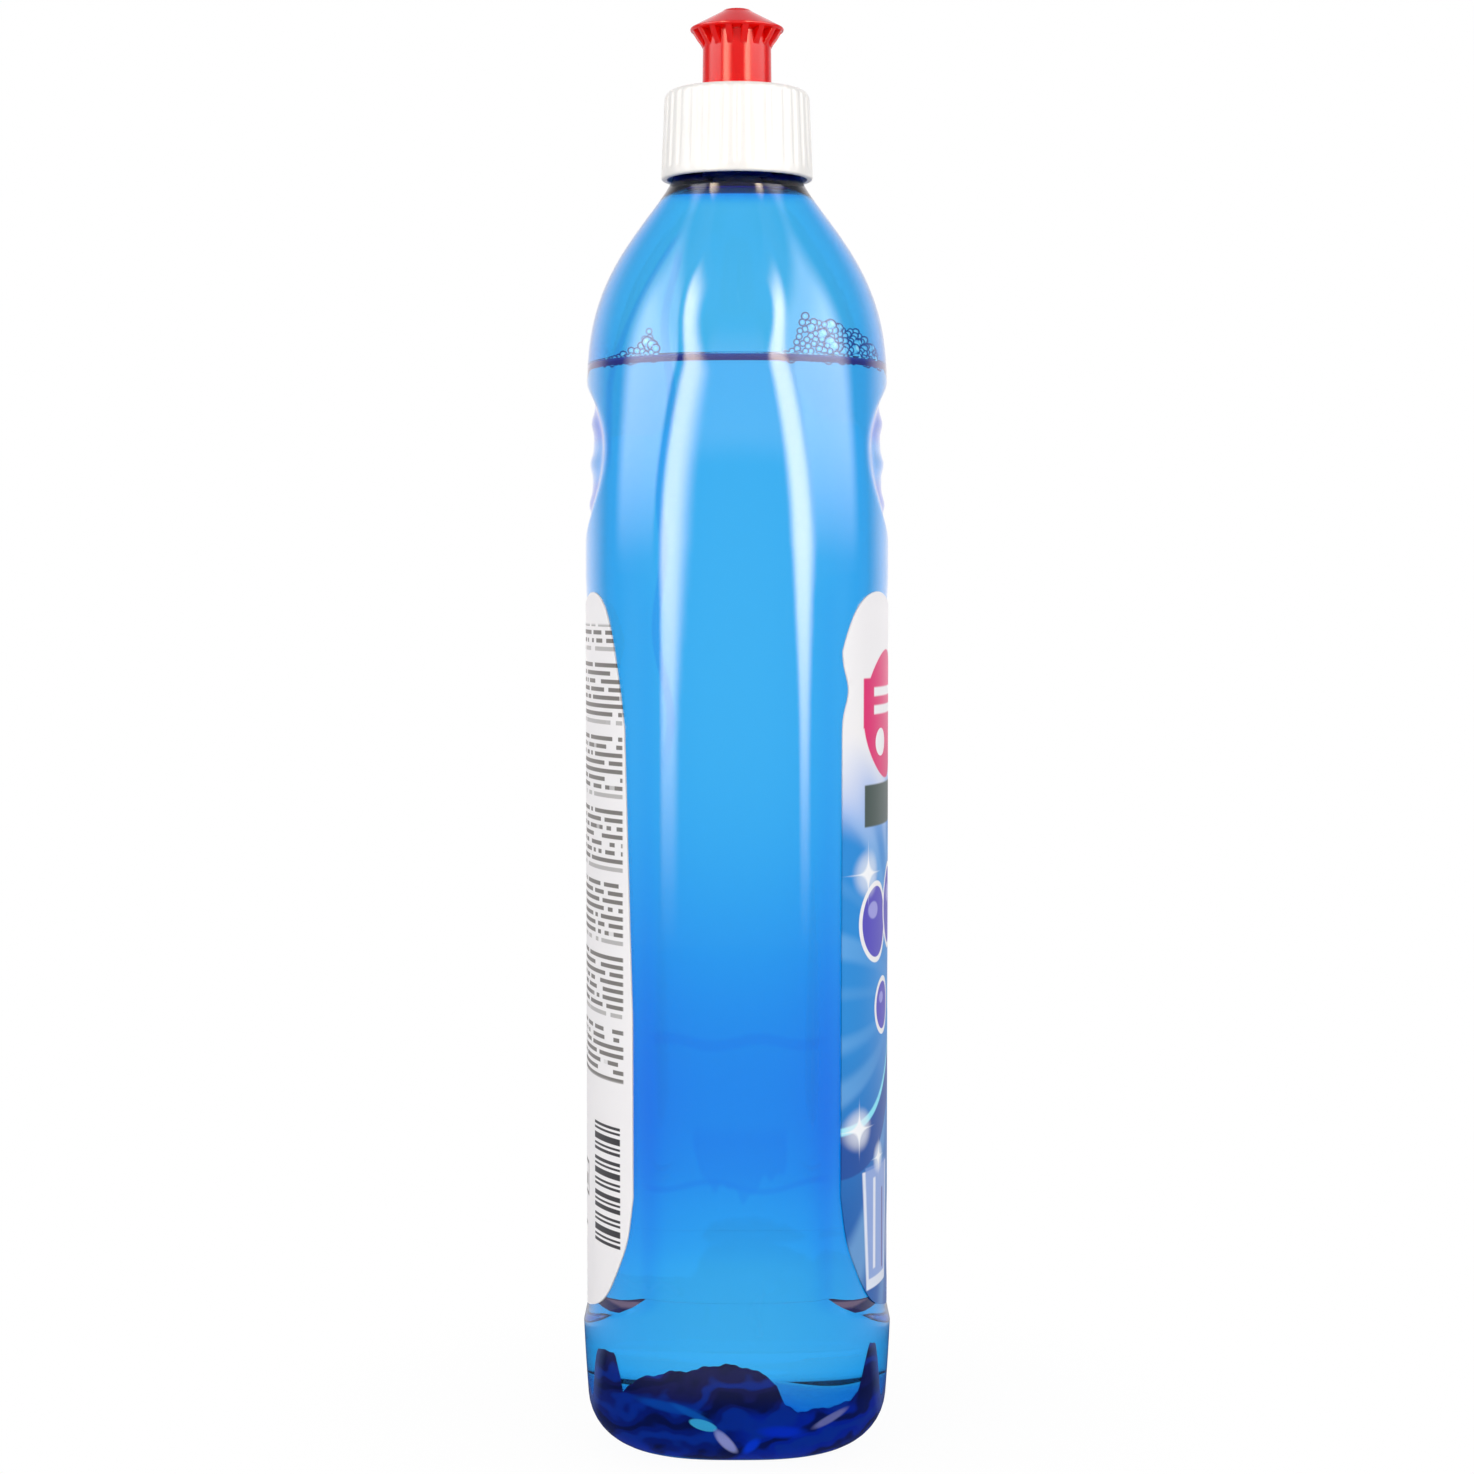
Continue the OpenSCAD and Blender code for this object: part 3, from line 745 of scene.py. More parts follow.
    def lay_foot_shade(self, f):
        """A sheet just under the skin of the foot: the deep blue of its thick plastic, with painted shade and painted
        highlights for the light that it bends.
        """
        a = np.arange(512) * 2 * math.pi / 512
        x, y, _ = f.skin(a, 12.0, 0.1).T
        near = np.interp(y, self.mound[:, 0], self.mound[:, 1]) + 0.2 * np.sin(1.1 * y) + 0.1 * np.sin(2.9 * y + 1)
        corner = soft((-x - 22) / 8)
        near = corner * near + (1 - corner) * (9.5 + 1.3 * np.sin(0.31 * x + 1))
        far = 0.8 + 8.6 * soft((16 - x) / 20)
        rows = f.sheet(a, self.foot_low, np.where(x < 0, near, far), 40, self.foot_insets)
        piece = new_piece("foot_shade_sheet", *ringed(rows), [self.paint_foot_light()], 60)
        hand_over(piece, "filled_bottle")

    # Wedges of painted shade where the ledge over the foot runs out: [distance from the middle, lower edge, upper
    # edge]
    dart = np.array([
        (0, 34.4, 34.403), (18.4, 34.4, 34.403), (19.4, 33.5, 34.2), (21, 31.9, 33.6), (23, 30.4, 33.0),
        (25.5, 29.9, 32.5), (28.5, 30.0, 31.9), (32, 30.2, 31.6),
    ])
    dart_insets, dart_thread = (0.04, 0.14), 0.003

    def ledge_darts(self, f):
        """A sheet under the skin, painted with the ledge's reflection and shade, that is wide only in the wedges, and
        a hair between them.
        """
        a = np.arange(768) * 2 * math.pi / 768
        x, y, _ = f.skin(a, 32.0, 0.1).T
        here = soft((-x - 18) / 8)
        low, high = (np.interp(np.abs(y), self.dart[:, 0], self.dart[:, k]) for k in (1, 2))
        low = high - self.dart_thread - (high - low - self.dart_thread) * here
        rows = f.sheet(a, low, high, 7, self.dart_insets)
        ink_and_painted_light = material("ledge_shade", Base_Color=(0, 0, 0), Roughness=0.3, Specular_IOR_Level=0.0)
        _, y, z = coordinates(ink_and_painted_light.node_tree)
        # Painted reflection of the lights along the ledge in pink, with painted shade under it and over its top
        paint = Paint(ink_and_painted_light.node_tree, (0.36, 0.21, 0.34))
        edge = z - 31.4 - (y.abs() - 23).abs() * 0.18
        paint.over(edge.step(0.6, -0.3) * 0.95, (0.006, 0.012, 0.16))
        paint.over((z - 33.2 + (y.abs() - 20) * 0.2).step(0.0, 0.4) * 0.9, (0.03, 0.02, 0.12))
        piece = new_piece("ledge_darts", *ringed(rows), [paint.onto(ink_and_painted_light)], 60)
        hand_over(piece, "filled_bottle")

    def paint_foot_light(self):
        """Painted shade and highlights of the light bent through the foot: folds of dark and bright blue, with the few
        places where light comes through.
        """
        m = material("foot_painted_light", Base_Color=(0, 0, 0), Roughness=0.3, Specular_IOR_Level=0.0)
        tree = m.node_tree
        x, y, z = coordinates(tree)
        near = x.step(0, -6)
        warp = noise(tree, 85, 2.0, (0.6, 1.0, 1.5)) * 14
        bands = ((z * 0.75) + (y * 0.22) + warp).sin()
        # Folds of painted shade and painted light across the foot
        paint = Paint(tree, (0.003, 0.020, 0.27))
        paint.over(z.step(12, 16) * 0.85, (0.012, 0.012, 0.125))
        paint.over((y.step(2, -3) * z.step(13, 11)) * 0.9, (0.001, 0.030, 0.50))
        paint.over(bands.step(0.2, 0.95) * 0.85, (0.004, 0.050, 0.46))
        paint.over(bands.step(-0.35, -0.95) * 0.85, (0.003, 0.008, 0.085))
        paint.over((bands.step(-0.2, 0.4) * (z + warp * 0.3).step(7.5, 4.5)) * 0.85, (0.002, 0.045, 0.60))

        def patch(y0, z0, long, thin, turn, shade, soft_edge):
            """A turned oval on the near side: a painted highlight where its shade is bright, painted shade where it is
            dark.
            """
            c, k = math.cos(math.radians(turn)), math.sin(math.radians(turn))
            u, v = (y - y0) * c + (z - z0) * k, (z - z0) * c - (y - y0) * k
            far = (u / long) * (u / long) + (v / thin) * (v / thin)
            paint.over(far.step(1.0, 1.0 - soft_edge) * near, shade)

        # Painted highlights where light comes through, with deeper painted blues around them
        for spot in (
            (13.5, 13.2, 8.0, 1.3, 8, (0.004, 0.10, 0.55), 0.9),
            (9.0, 12.2, 5.5, 0.9, 24, (0.006, 0.15, 0.62), 0.9),
            (6.7, 9.9, 3.1, 1.15, 16, (0.10, 0.62, 0.92), 0.35),
            (2.2, 6.4, 3.9, 1.35, 50, (0.55, 0.47, 0.85), 0.7),
            (-2.8, 5.4, 3.0, 1.4, -48, (0.002, 0.07, 0.85), 0.9),
            (-9.0, 8.4, 6.0, 1.6, 4, (0.002, 0.05, 0.75), 0.95),
            (-18.5, 10.2, 4.6, 1.0, -22, (0.34, 0.27, 0.58), 0.8),
        ):
            patch(*spot)
        # Painted light along the bottom edge and toward the corners
        paint.over((z + noise(tree, 60, 1.0) * 2).step(3.2, 2.4), (0.01, 0.26, 0.78))
        paint.over((y.abs() + (z - 12) * 0.12).step(27.2, 30.5) * 0.75, (0.40, 0.42, 0.80))
        return paint.onto(m)


class RINSE_OT_fill(bpy.types.Operator):
    """Fill the bottle: rinse aid that climbs the wall a little, with foam at its edge"""

    bl_idname = "rinse_aid.fill"
    bl_label = "Rinse aid and foam"

    wets = 0.12  # how far the fill reaches into the wall, so that no air lies between them
    # Rings of the fill's top, as shares of its edge, closer together where it climbs the wall
    top_shares = (0.997, 0.992, 0.985, 0.975, 0.96, 0.94, 0.91, 0.87, 0.8, 0.6, 0.35, 0.12)
    climb = 0.9  # how far from the wall the rise has died down to a third

    def execute(self, context):
        f, s = Form(), sizes().fill
        level, rise = s.level / MM, s.rise / MM
        liquid = material(
            "rinse_aid_liquid",
            volume=(s.tint, s.density),
            Base_Color=(1, 1, 1),
            Roughness=0.0,
            IOR=1.34,
            Transmission_Weight=1.0,
        )
        inset = f.wall - self.wets
        side = np.append(f.heights(level + rise), level + rise)
        rings = np.concatenate([f.foot_rings(inset), f.wall_rings(side, f.wall_at(side) - self.wets)])
        edge = rings[-1]
        top = []
        for q in self.top_shares:
            away = (1 - q) * edge[2]
            top.append([level + rise * math.exp(-away / self.climb), edge[1] * q, edge[2] * q, edge[3], 1])
        rings = np.concatenate([rings, top])
        points = np.concatenate([[[0, 0, f.punt + inset]], f.points(rings, AROUND), [[0, 0, level]]])
        piece = new_piece("rinse_aid_fill", points, skin_faces(len(rings), AROUND), [liquid], 0)
        hand_over(piece, "filled_bottle", "rinse_aid")
        self.waterline(f, level)
        self.foam(f, s, level)
        return {"FINISHED"}

    # Section of the waterline's ring: [height over the fill, depth under the skin]
    line_section = ((-0.4, 0.06), (0.35, 0.05), (1.0, 0.06), (0.8, 0.16), (-0.2, 0.16))

    def waterline(self, f, level):
        """A sheet under the skin painted with the dark edge that the fill shows where it climbs the wall: painted
        shade, with a painted reflection of the strip lights toward the corners.
        """
        a = np.arange(384) * 2 * math.pi / 384
        rows = np.array([f.skin(a, level + z, inset) for z, inset in self.line_section])
        ink_and_painted_light = material("waterline", Base_Color=(0, 0, 0), Roughness=0.4, Specular_IOR_Level=0.0)
        _, y, z = coordinates(ink_and_painted_light.node_tree)
        # Painted shade of the climbing edge, lighter toward its top, and a painted reflection of the strip lights
        # toward the corners
        paint = Paint(ink_and_painted_light.node_tree, (0.01, 0.03, 0.36))
        paint.over((z - level).step(0.2, 0.9) * 0.6, (0.03, 0.12, 0.6))
        paint.over(y.abs().step(25.5, 28.5) * 0.8, (0.35, 0.20, 0.45))
        piece = new_piece("waterline", *ringed(rows), [paint.onto(ink_and_painted_light)], 60)
        hand_over(piece, "filled_bottle")

    # Patches of foam along the narrow sides, near (-1) and far (1): [y, height there]
    patches = [
        (-1, [(26, 1.2), (22, 2.0), (19.5, 3.2), (18, 5.0), (16.9, 7.4), (16, 3.6), (15.2, 1.0)]),
        (-1, [
            (-8.6, 0.8), (-11.5, 2.8), (-12.6, 7.0), (-13.4, 9.8), (-15, 8.2), (-19, 7.4), (-24, 6.6), (-27, 4),
            (-28.2, 1.5),
        ]),
        (1, [(20, 0.8), (14, 3.4), (8, 0.8)]),
        (1, [(-20, 0.9), (-24, 4.2), (-27, 1.0)]),
    ]

    across, up = 36, 8  # faces of a patch of foam before it is covered with bubbles
    foam_inset = 0.9

    def foam(self, f, s, level):
        """Bubbles that glow with painted light, pale in the middles and with painted shade at the rims, scattered over
        each patch.
        """
        # The film has no lit colour, only a glow: painted light in the middles and painted shade at the rims, where
        # they turn away
        film = material("foam_film", Base_Color=(0, 0, 0), Specular_IOR_Level=0.0, Emission_Strength=1.0)
        facing = node(film.node_tree, "ShaderNodeLayerWeight", {"Blend": 0.5}).outputs["Facing"]
        turned = Wire(film.node_tree, facing)
        shine = Paint(film.node_tree, (0.42, 0.72, 0.93))
        shine.over(turned.step(0.10, 0.02), (0.80, 0.92, 1.0))
        shine.over(turned.step(0.14, 0.36), (0.0, 0.02, 0.22))
        shine.onto(film, "Emission Color")
        tree = foam_tree()
        across, n = self.across, self.up + 1
        faces = [
            (i * n + j, (i + 1) * n + j, (i + 1) * n + j + 1, i * n + j + 1)
            for i in range(across)
            for j in range(self.up)
        ]
        made = []
        for k, (side, shape) in enumerate(self.patches):
            ys, heights = np.array(shape).T
            order = np.argsort(ys)
            points = []
            for t in np.linspace(0, 1, across + 1):
                y = ys[0] + (ys[-1] - ys[0]) * t
                tall = float(np.interp(y, ys[order], heights[order]))
                for j in range(n):
                    z = level - 0.2 + tall * j / self.up
                    _, w, d, p, _ = f.wall_rings(np.array([z]), f.wall + self.foam_inset)[0]
                    points.append((side * w * max(0.0, 1 - (abs(y) / d) ** p) ** (1 / p), y, z))
            bed = new_piece(f"foam_bed_{k}", points, faces, [])
            apply_tree(bed, tree, {
                "Spacing": s.spacing,
                "Smallest": s.bubble * 0.5,
                "Largest": s.bubble,
                "Seed": s.seed + k,
                "Material": film,
            })
            made.append(evaluated(bed, f"foam_{k}", 0))
        hand_over(joined("foam", made), "filled_bottle")


# Labels


class RINSE_OT_labels(bpy.types.Operator):
    """Lay a printed film on each panel"""

    bl_idname = "rinse_aid.labels"
    bl_label = "Labels"

    lobe, lobe_turn, edge_power = 3.4, math.radians(117), 14
    side_low, foot_gap = 28, 1.2
    notch_at, notch_h, taper_from = 0.905, 4, 90
    glue, lift = 0.02, 0.12
    # Name, CAD node, drop of the upper corners, notch and taper of the outline
    outlines = (
        ("front_label_film", "front_label", 12, 0.03, 0.0),
        ("back_label_film", "back_label", 27, 0.0, 0.05),
    )

    def film(self, name, side_high, notch, taper, printed):
        """A closed sheet that follows the sunk panel, with its outline rounded by high powers."""
        f, s = Form(), sizes().labels
        columns, rows = 110, 150
        top, width = s.top / MM, s.width / MM
        u = np.sin(np.linspace(-math.pi / 2, math.pi / 2, columns + 1))
        v = np.linspace(0, 1, rows + 1)[:, None]
        foot = f.panel_z + self.foot_gap + self.side_low * np.abs(u) ** self.edge_power
        lobes = np.sin(np.minimum(math.pi / 2, self.lobe_turn * np.abs(u))) ** 4
        head = top + self.lobe * lobes - side_high * np.abs(u) ** self.edge_power
        z = foot + v * (head - foot)
        waist = 1 - notch * np.exp(-(((z - self.notch_at * top) / self.notch_h) ** 2))
        waist = waist - taper * np.maximum(0, (z - self.taper_from) / (top - self.taper_from))
        x = u * width / 2 * waist
        p, a, b = f.power_at(z), f.width_at(z), f.depth_at(z)
        q = 1 - (np.abs(x) / a) ** p
        y = b * q ** (1 / p)
        slope = b / a * (np.abs(x) / a) ** (p - 1) * q ** (1 / p - 1)
        k = np.sqrt(1 + slope * slope)
        layers = []
        for lift in (self.glue, self.lift + s.film / MM):
            layers.append(np.stack([
                x + np.sign(x) * lift * slope / k,
                -(y - f.face_in(x, z) + lift / k),
                z + f.smile * x * x * f.bend(z),
            ], -1).reshape(-1, 3))
        points = np.concatenate(layers)
        n = (columns + 1) * (rows + 1)

        def at(i, j):
            return j * (columns + 1) + i

        faces = []
        for j in range(rows):
            for i in range(columns):
                quad = (at(i, j), at(i + 1, j), at(i + 1, j + 1), at(i, j + 1))
                faces += [tuple(c + n for c in quad), quad[::-1]]
        for i in range(columns):
            faces += [(at(i, 0), at(i + 1, 0), n + at(i + 1, 0), n + at(i, 0))]
            faces += [(at(i + 1, rows), at(i, rows), n + at(i, rows), n + at(i + 1, rows))]
        for j in range(rows):
            faces += [(at(0, j + 1), at(0, j), n + at(0, j), n + at(0, j + 1))]
            faces += [(at(columns, j), at(columns, j + 1), n + at(columns, j + 1), n + at(columns, j))]
        if name == "back_label_film":
            points[:, :2] *= -1
        return new_piece(name, points, faces, [printed], 50)

    def execute(self, context):
        prints = (self.front_print(), self.back_print())
        for (name, stands_for, side_high, notch, taper), printed in zip(self.outlines, prints):
            piece = self.film(name, side_high, notch, taper, printed)
            hand_over(piece, "filled_bottle", stands_for)
        return {"FINISHED"}

    def block_on(self, x, z, edge):
        """A function for rectangles on these coordinates, by centre, half-width and half-height."""

        def block(cx, cz, hw, hh):
            return (x - cx).abs().step(hw + edge, hw - edge) * (z - cz).abs().step(hh + edge, hh - edge)

        return block

    def front_print(self):
        """Blue field with rays, drops, a ribbon, tumblers and plates, under a magenta field and a bar."""
        s = sizes().labels
        m = material("front_label_film", Roughness=0.32, Specular_IOR_Level=0.25)
        tree = m.node_tree
        x, _, z = coordinates(tree)

        def disc(cx, cz, rx, rz, blur=0.03):
            dx, dz = (x - cx) / rx, (z - cz) / rz
            return (dx * dx + dz * dz).step(1 + blur, 1 - blur)

        block = self.block_on(x, z, 0.25)

        def sparkle(cx, cz, reach):
            dx, dz = ((x - cx).abs() / reach) ** 0.5, ((z - cz).abs() / reach) ** 0.5
            star = (dx + dz).step(1.0, 0.55)
            glow = disc(cx, cz, reach * 0.45, reach * 0.45, 0.9) * 0.6
            return star.most(glow)

        paint = Paint(tree, s.sky)
        # Rays that fan out from behind the drops, over a blue that deepens downward
        paint.over(z.step(95, 40) * 0.8, s.deep)
        dx, dz = x + 6, z - 92
        angle = dz.math("ARCTAN2", dx)
        far = (dx * dx + dz * dz) ** 0.5
        beam = (angle * 23).sin() * 0.5 + (angle * 9 + 1.3).sin() * 0.35 + 0.3
        paint.over(beam.step(0.2, 1.0) * far.step(8, 50) * 0.4, (0.30, 0.62, 0.95))
        # The blue fades to white toward the top
        paint.over((z + beam * 5).step(122, 140), (0.45, 0.58, 0.90))
        paint.over((z + beam * 4).step(132, 148), s.paper)
        # Bar and rounded field, one above the other
        paint.over(block(-23, 131.5, 11.5, 4.2), s.slate)
        field = block(-20.5, 152.0, 14.5, 5.0).most(disc(-20.5, 149.5, 14.5, 13.0))
        paint.over(field, s.magenta)
        paint.over(block(-19, 154.2, 11.5, 0.9).most(block(-21, 150.6, 9.5, 0.9)), s.paper)
        paint.over(disc(-26, 144.0, 3.6, 2.8), s.paper)
        # Ribbon that sweeps across
        bow = (x * 0.055 + 0.7).sin() * 16 + 78
        paint.over((z - bow).abs().step(4.6, 4.1), s.deep)
        paint.over((z - bow - 5.2).abs().step(1.1, 0.5), (0.25, 0.78, 0.95))
        # Drops with white outlines, in two rows
        drops = (
            (-29, 108, 6.2), (-15, 110, 6.8), (0, 108, 6.2), (15, 111, 6.8), (28, 108, 5.6),
            (-24, 90.5, 4.2), (-9, 93, 4.6), (6, 91, 4.2), (20, 92.5, 4.6),
        )
        for k, (cx, cz, r) in enumerate(drops):
            narrow = 1 + (k % 2) * 0.12
            paint.over(disc(cx, cz, r * narrow + 1.1, r * 1.15 + 1.1), s.paper)
            paint.over(disc(cx, cz, r * narrow, r * 1.15), s.violet)
            paint.over(disc(cx - r * 0.25, cz + r * 0.4, r * 0.4, r * 0.28, 0.3) * 0.7, (0.45, 0.45, 0.85))
        # Tumblers and plates at the foot
        for cx, half in ((-27, 6.0), (9, 6.6)):
            wide = (z - 30) * 0.07 + half
            body = ((x - cx).abs() - wide).step(0.3, -0.3) * (z - 46).abs().step(12.3, 11.9)
            inner = ((x - cx).abs() - wide + 1.1).step(0.3, -0.3) * (z - 47.4).abs().step(11.6, 11.2)
            paint.over(body, (0.75, 0.80, 0.92))
            paint.over(inner * 0.8, (0.16, 0.30, 0.70))
            paint.over((x - cx + 2.6).abs().step(0.9, 0.5) * (z - 47).abs().step(9.5, 9) * 0.85, (0.85, 0.88, 0.95))
            paint.over((x - cx - 3.2).abs().step(0.7, 0.4) * (z - 45).abs().step(8.5, 8) * 0.9, (0.10, 0.05, 0.30))
        for cx, cz in ((-9.5, 41), (27, 42)):
            paint.over(disc(cx, cz, 7.6, 9.5), (0.72, 0.76, 0.90))
            paint.over(disc(cx, cz, 5.6, 7.2), (0.60, 0.66, 0.86))
        sparkles = (
            (-33, 118, 9), (-36, 67, 8), (20, 124, 7), (32, 74, 9), (-2, 66, 5), (9, 61, 5), (-27, 60, 6),
        )
        for spot in sparkles:
            paint.over(sparkle(*spot), (0.95, 0.97, 1.0))
        return paint.onto(m)

    def back_print(self):
        """White field with rows of bars, framed squares, two rules and a field of stripes."""
        s = sizes().labels
        m = material("back_label_film", Roughness=0.42, Specular_IOR_Level=0.35)
        tree = m.node_tree
        x, _, z = coordinates(tree)
        x = x * -1.0
        block = self.block_on(x, z, 0.12)
        paint = Paint(tree, s.paper)
        # Rows of bars of uneven length, with an empty row after every eight
        row = (z / 1.62).math("FLOOR")
        within = (z / 1.62 - row - 0.5).abs()
        cell = (x / 1.7 + (row * 12.9).sin() * 3.0).math("FLOOR")
        place = node(tree, "ShaderNodeCombineXYZ", {0: cell, 1: row})
        words = node(tree, "ShaderNodeTexWhiteNoise", {"Vector": place.outputs[0]}, noise_dimensions="2D")
        line = within.step(0.30, 0.22) * Wire(tree, words.outputs["Value"]).step(0.16, 0.18)
        gap = (row / 9).math("FRACT").step(0.1, 0.12)
        column = x.abs().step(38.6, 38.2)
        paint.over(line * gap * column * (z.step(76, 77) * z.step(168, 167)) * 0.95, s.ink_and_painted_light)
        # Stripes, framed squares and two rules at the foot
        stripe = (z * 4.4 + (z * 1.7).sin() * 1.5).sin().step(-0.15, 0.15)
        paint.over(block(32, 55, 5.5, 13) * stripe, (0.03, 0.03, 0.035))
        for cx in (-24, -14, -4, 6, 16):
            paint.over(block(cx, 54, 3.6, 3.6), s.ink_and_painted_light)
            paint.over(block(cx, 54, 2.9, 2.9), s.paper)
            paint.over(block(cx, 53.4, 1.4, 1.2), s.ink_and_painted_light)
        paint.over(block(-6, 44, 22, 0.4).most(block(-10, 41, 18, 0.4)), s.ink_and_painted_light)
        return paint.onto(m)


# Cap and washer


class RINSE_OT_cap(bpy.types.Operator):
    """Turn the fluted screw cap, with its chimney, its pin and the washer under its deck"""

    bl_idname = "rinse_aid.cap"
    bl_label = "Cap and washer"

    cap_r, taper, skirt_wall, deck_t, round_r = 15.8, 0.8, 1.3, 1.55, 2.0
    chimney_r, chimney_h, chimney_wall, catch, catch_drop = 5.4, 8.0, 1.2, 0.35, 1.4
    flute_r, flute_start, pin_r = 1.3, 1.8, 1.35
    thread_r, thread_play = 13.5, 0.4

    def execute(self, context):
        c = sizes().cap
        f = Form()
        low, washer_z = CAP_LOW.z / MM, f.neck_top + f.seat_gap
        under = washer_z + f.washer_t
        deck = under + self.deck_t
        top = deck + self.chimney_h
        tall = deck - low
        crown_r = self.cap_r - self.taper
        bore = self.chimney_r - self.chimney_wall
        inner_top = crown_r - 0.95
        profile = fillet([
            [self.cap_r - self.skirt_wall, low + 4],
            [self.cap_r - self.skirt_wall, low, 0.25],
            [self.cap_r, low, 0.45],
            [self.cap_r - self.taper * self.flute_start / tall, low + self.flute_start],
            [self.cap_r - self.taper * 2.2 / tall, low + 2.2],
            [self.cap_r - self.taper * 9 / tall, low + 9],
            [crown_r, deck, self.round_r],
            [self.chimney_r, deck, 0.3],
            [self.chimney_r, top - self.catch_drop, 0.1],
            [self.chimney_r + self.catch, top - self.catch_drop, 0.1],
            [self.chimney_r + self.catch, top - 0.8, 0.2],
            [self.chimney_r, top, 0.2],
            [bore, top, 0.2],
            [bore, under, 0.3],
            [inner_top, under, 0.4],
            [inner_top + 0.25, low + 10],
        ], 6)
        half = math.pi / c.flutes
        side = np.array([0.1, 0.22, 0.34, 0.44, 0.52, 0.6, 0.8, 1])
        angles = half * np.concatenate([-side[::-1], [0], side])
        points = []
        for r, z in profile:
            line = self.cap_r - self.taper * (z - low) / tall
            start = soft((z - low - self.flute_start) / 0.5) if r > inner_top + 0.4 or z > deck - 2.2 else 0
            for a in angles:
                s = a * line
                cut = max(0.0, math.sqrt(max(0.0, self.flute_r**2 - s * s)) - self.flute_r + c.flute_depth / MM)
                radius = min(r, line - cut * start) if start else r
                points.append((radius * math.cos(a), radius * math.sin(a), z))
        faces = grid(len(profile), len(angles), True)
        plastic = material(
            "white_cap_plastic",
            Base_Color=c.plastic,
            Roughness=0.34,
            IOR=1.49,
            Subsurface_Weight=0.15,
            Subsurface_Scale=0.0008,
            Subsurface_Radius=(1.0, 0.9, 0.8),
        )
        bump(plastic, noise(plastic.node_tree, 900.0, 3.0), 0.00004, 0.5)
        sector = new_piece("cap_sector", points, faces, [])
        apply_tree(sector, ring_tree(), {"Count": c.flutes, "Merge": 0.000002, "Material": plastic})
        skirt = evaluated(sector, "cap_skirt", 42)
        pin_foot, pin_top, spoke_top = top - 4, SPOUT_HIGH.z / MM - 0.5, top - 2.4
        pin = new_piece(
            "cap_pin",
            *revolve(fillet([
                [0.02, pin_foot], [self.pin_r, pin_foot, 0.1], [self.pin_r, pin_top, 0.3], [0.02, pin_top],
            ]), 40, False),
            [plastic],
        )
        spokes = []
        for k in range(3):
            a = 2 * math.pi * k / 3
            box = [(r, s, z) for r in (0.3, bore + 0.4) for s in (-0.5, 0.5) for z in (pin_foot, spoke_top)]
            turned = [(r * math.cos(a) - s * math.sin(a), r * math.sin(a) + s * math.cos(a), z) for r, s, z in box]
            sides = [(0, 1, 3, 2), (4, 6, 7, 5), (0, 4, 5, 1), (2, 3, 7, 6), (0, 2, 6, 4), (1, 5, 7, 3)]
            spokes.append(new_piece(f"spoke_{k}", turned, sides, [plastic]))
        thread = thread_ridge(
            self.cap_r - self.skirt_wall + 0.3,
            self.thread_r,
            f.bead_z + f.thread_up - self.thread_play + f.thread_pitch / 2,
            f.thread_pitch,
            f.thread_turns,
            math.pi,
        )
        ridge = new_piece("cap_thread", *thread, [plastic])
        hand_over(joined("screw_cap", [skirt, pin, *spokes, ridge]), "screw_cap", "cap")
        foam = material("washer_foam", Base_Color=c.washer, Roughness=0.7)
        bump(foam, noise(foam.node_tree, 2500.0, 3.0), 0.0001, 0.6)
        section = fillet([
            [bore + 2, washer_z + 0.5], [bore + 2, washer_z, 0.1], [inner_top - 0.6, washer_z, 0.15],
            [inner_top - 0.6, under, 0.15], [bore + 2, under, 0.1], [bore + 2, washer_z + 0.55],
        ])
        washer = new_piece("sealing_washer", *revolve(section, 96), [foam])
        hand_over(washer, "washer", "seal_washer")
        return {"FINISHED"}


# Spout


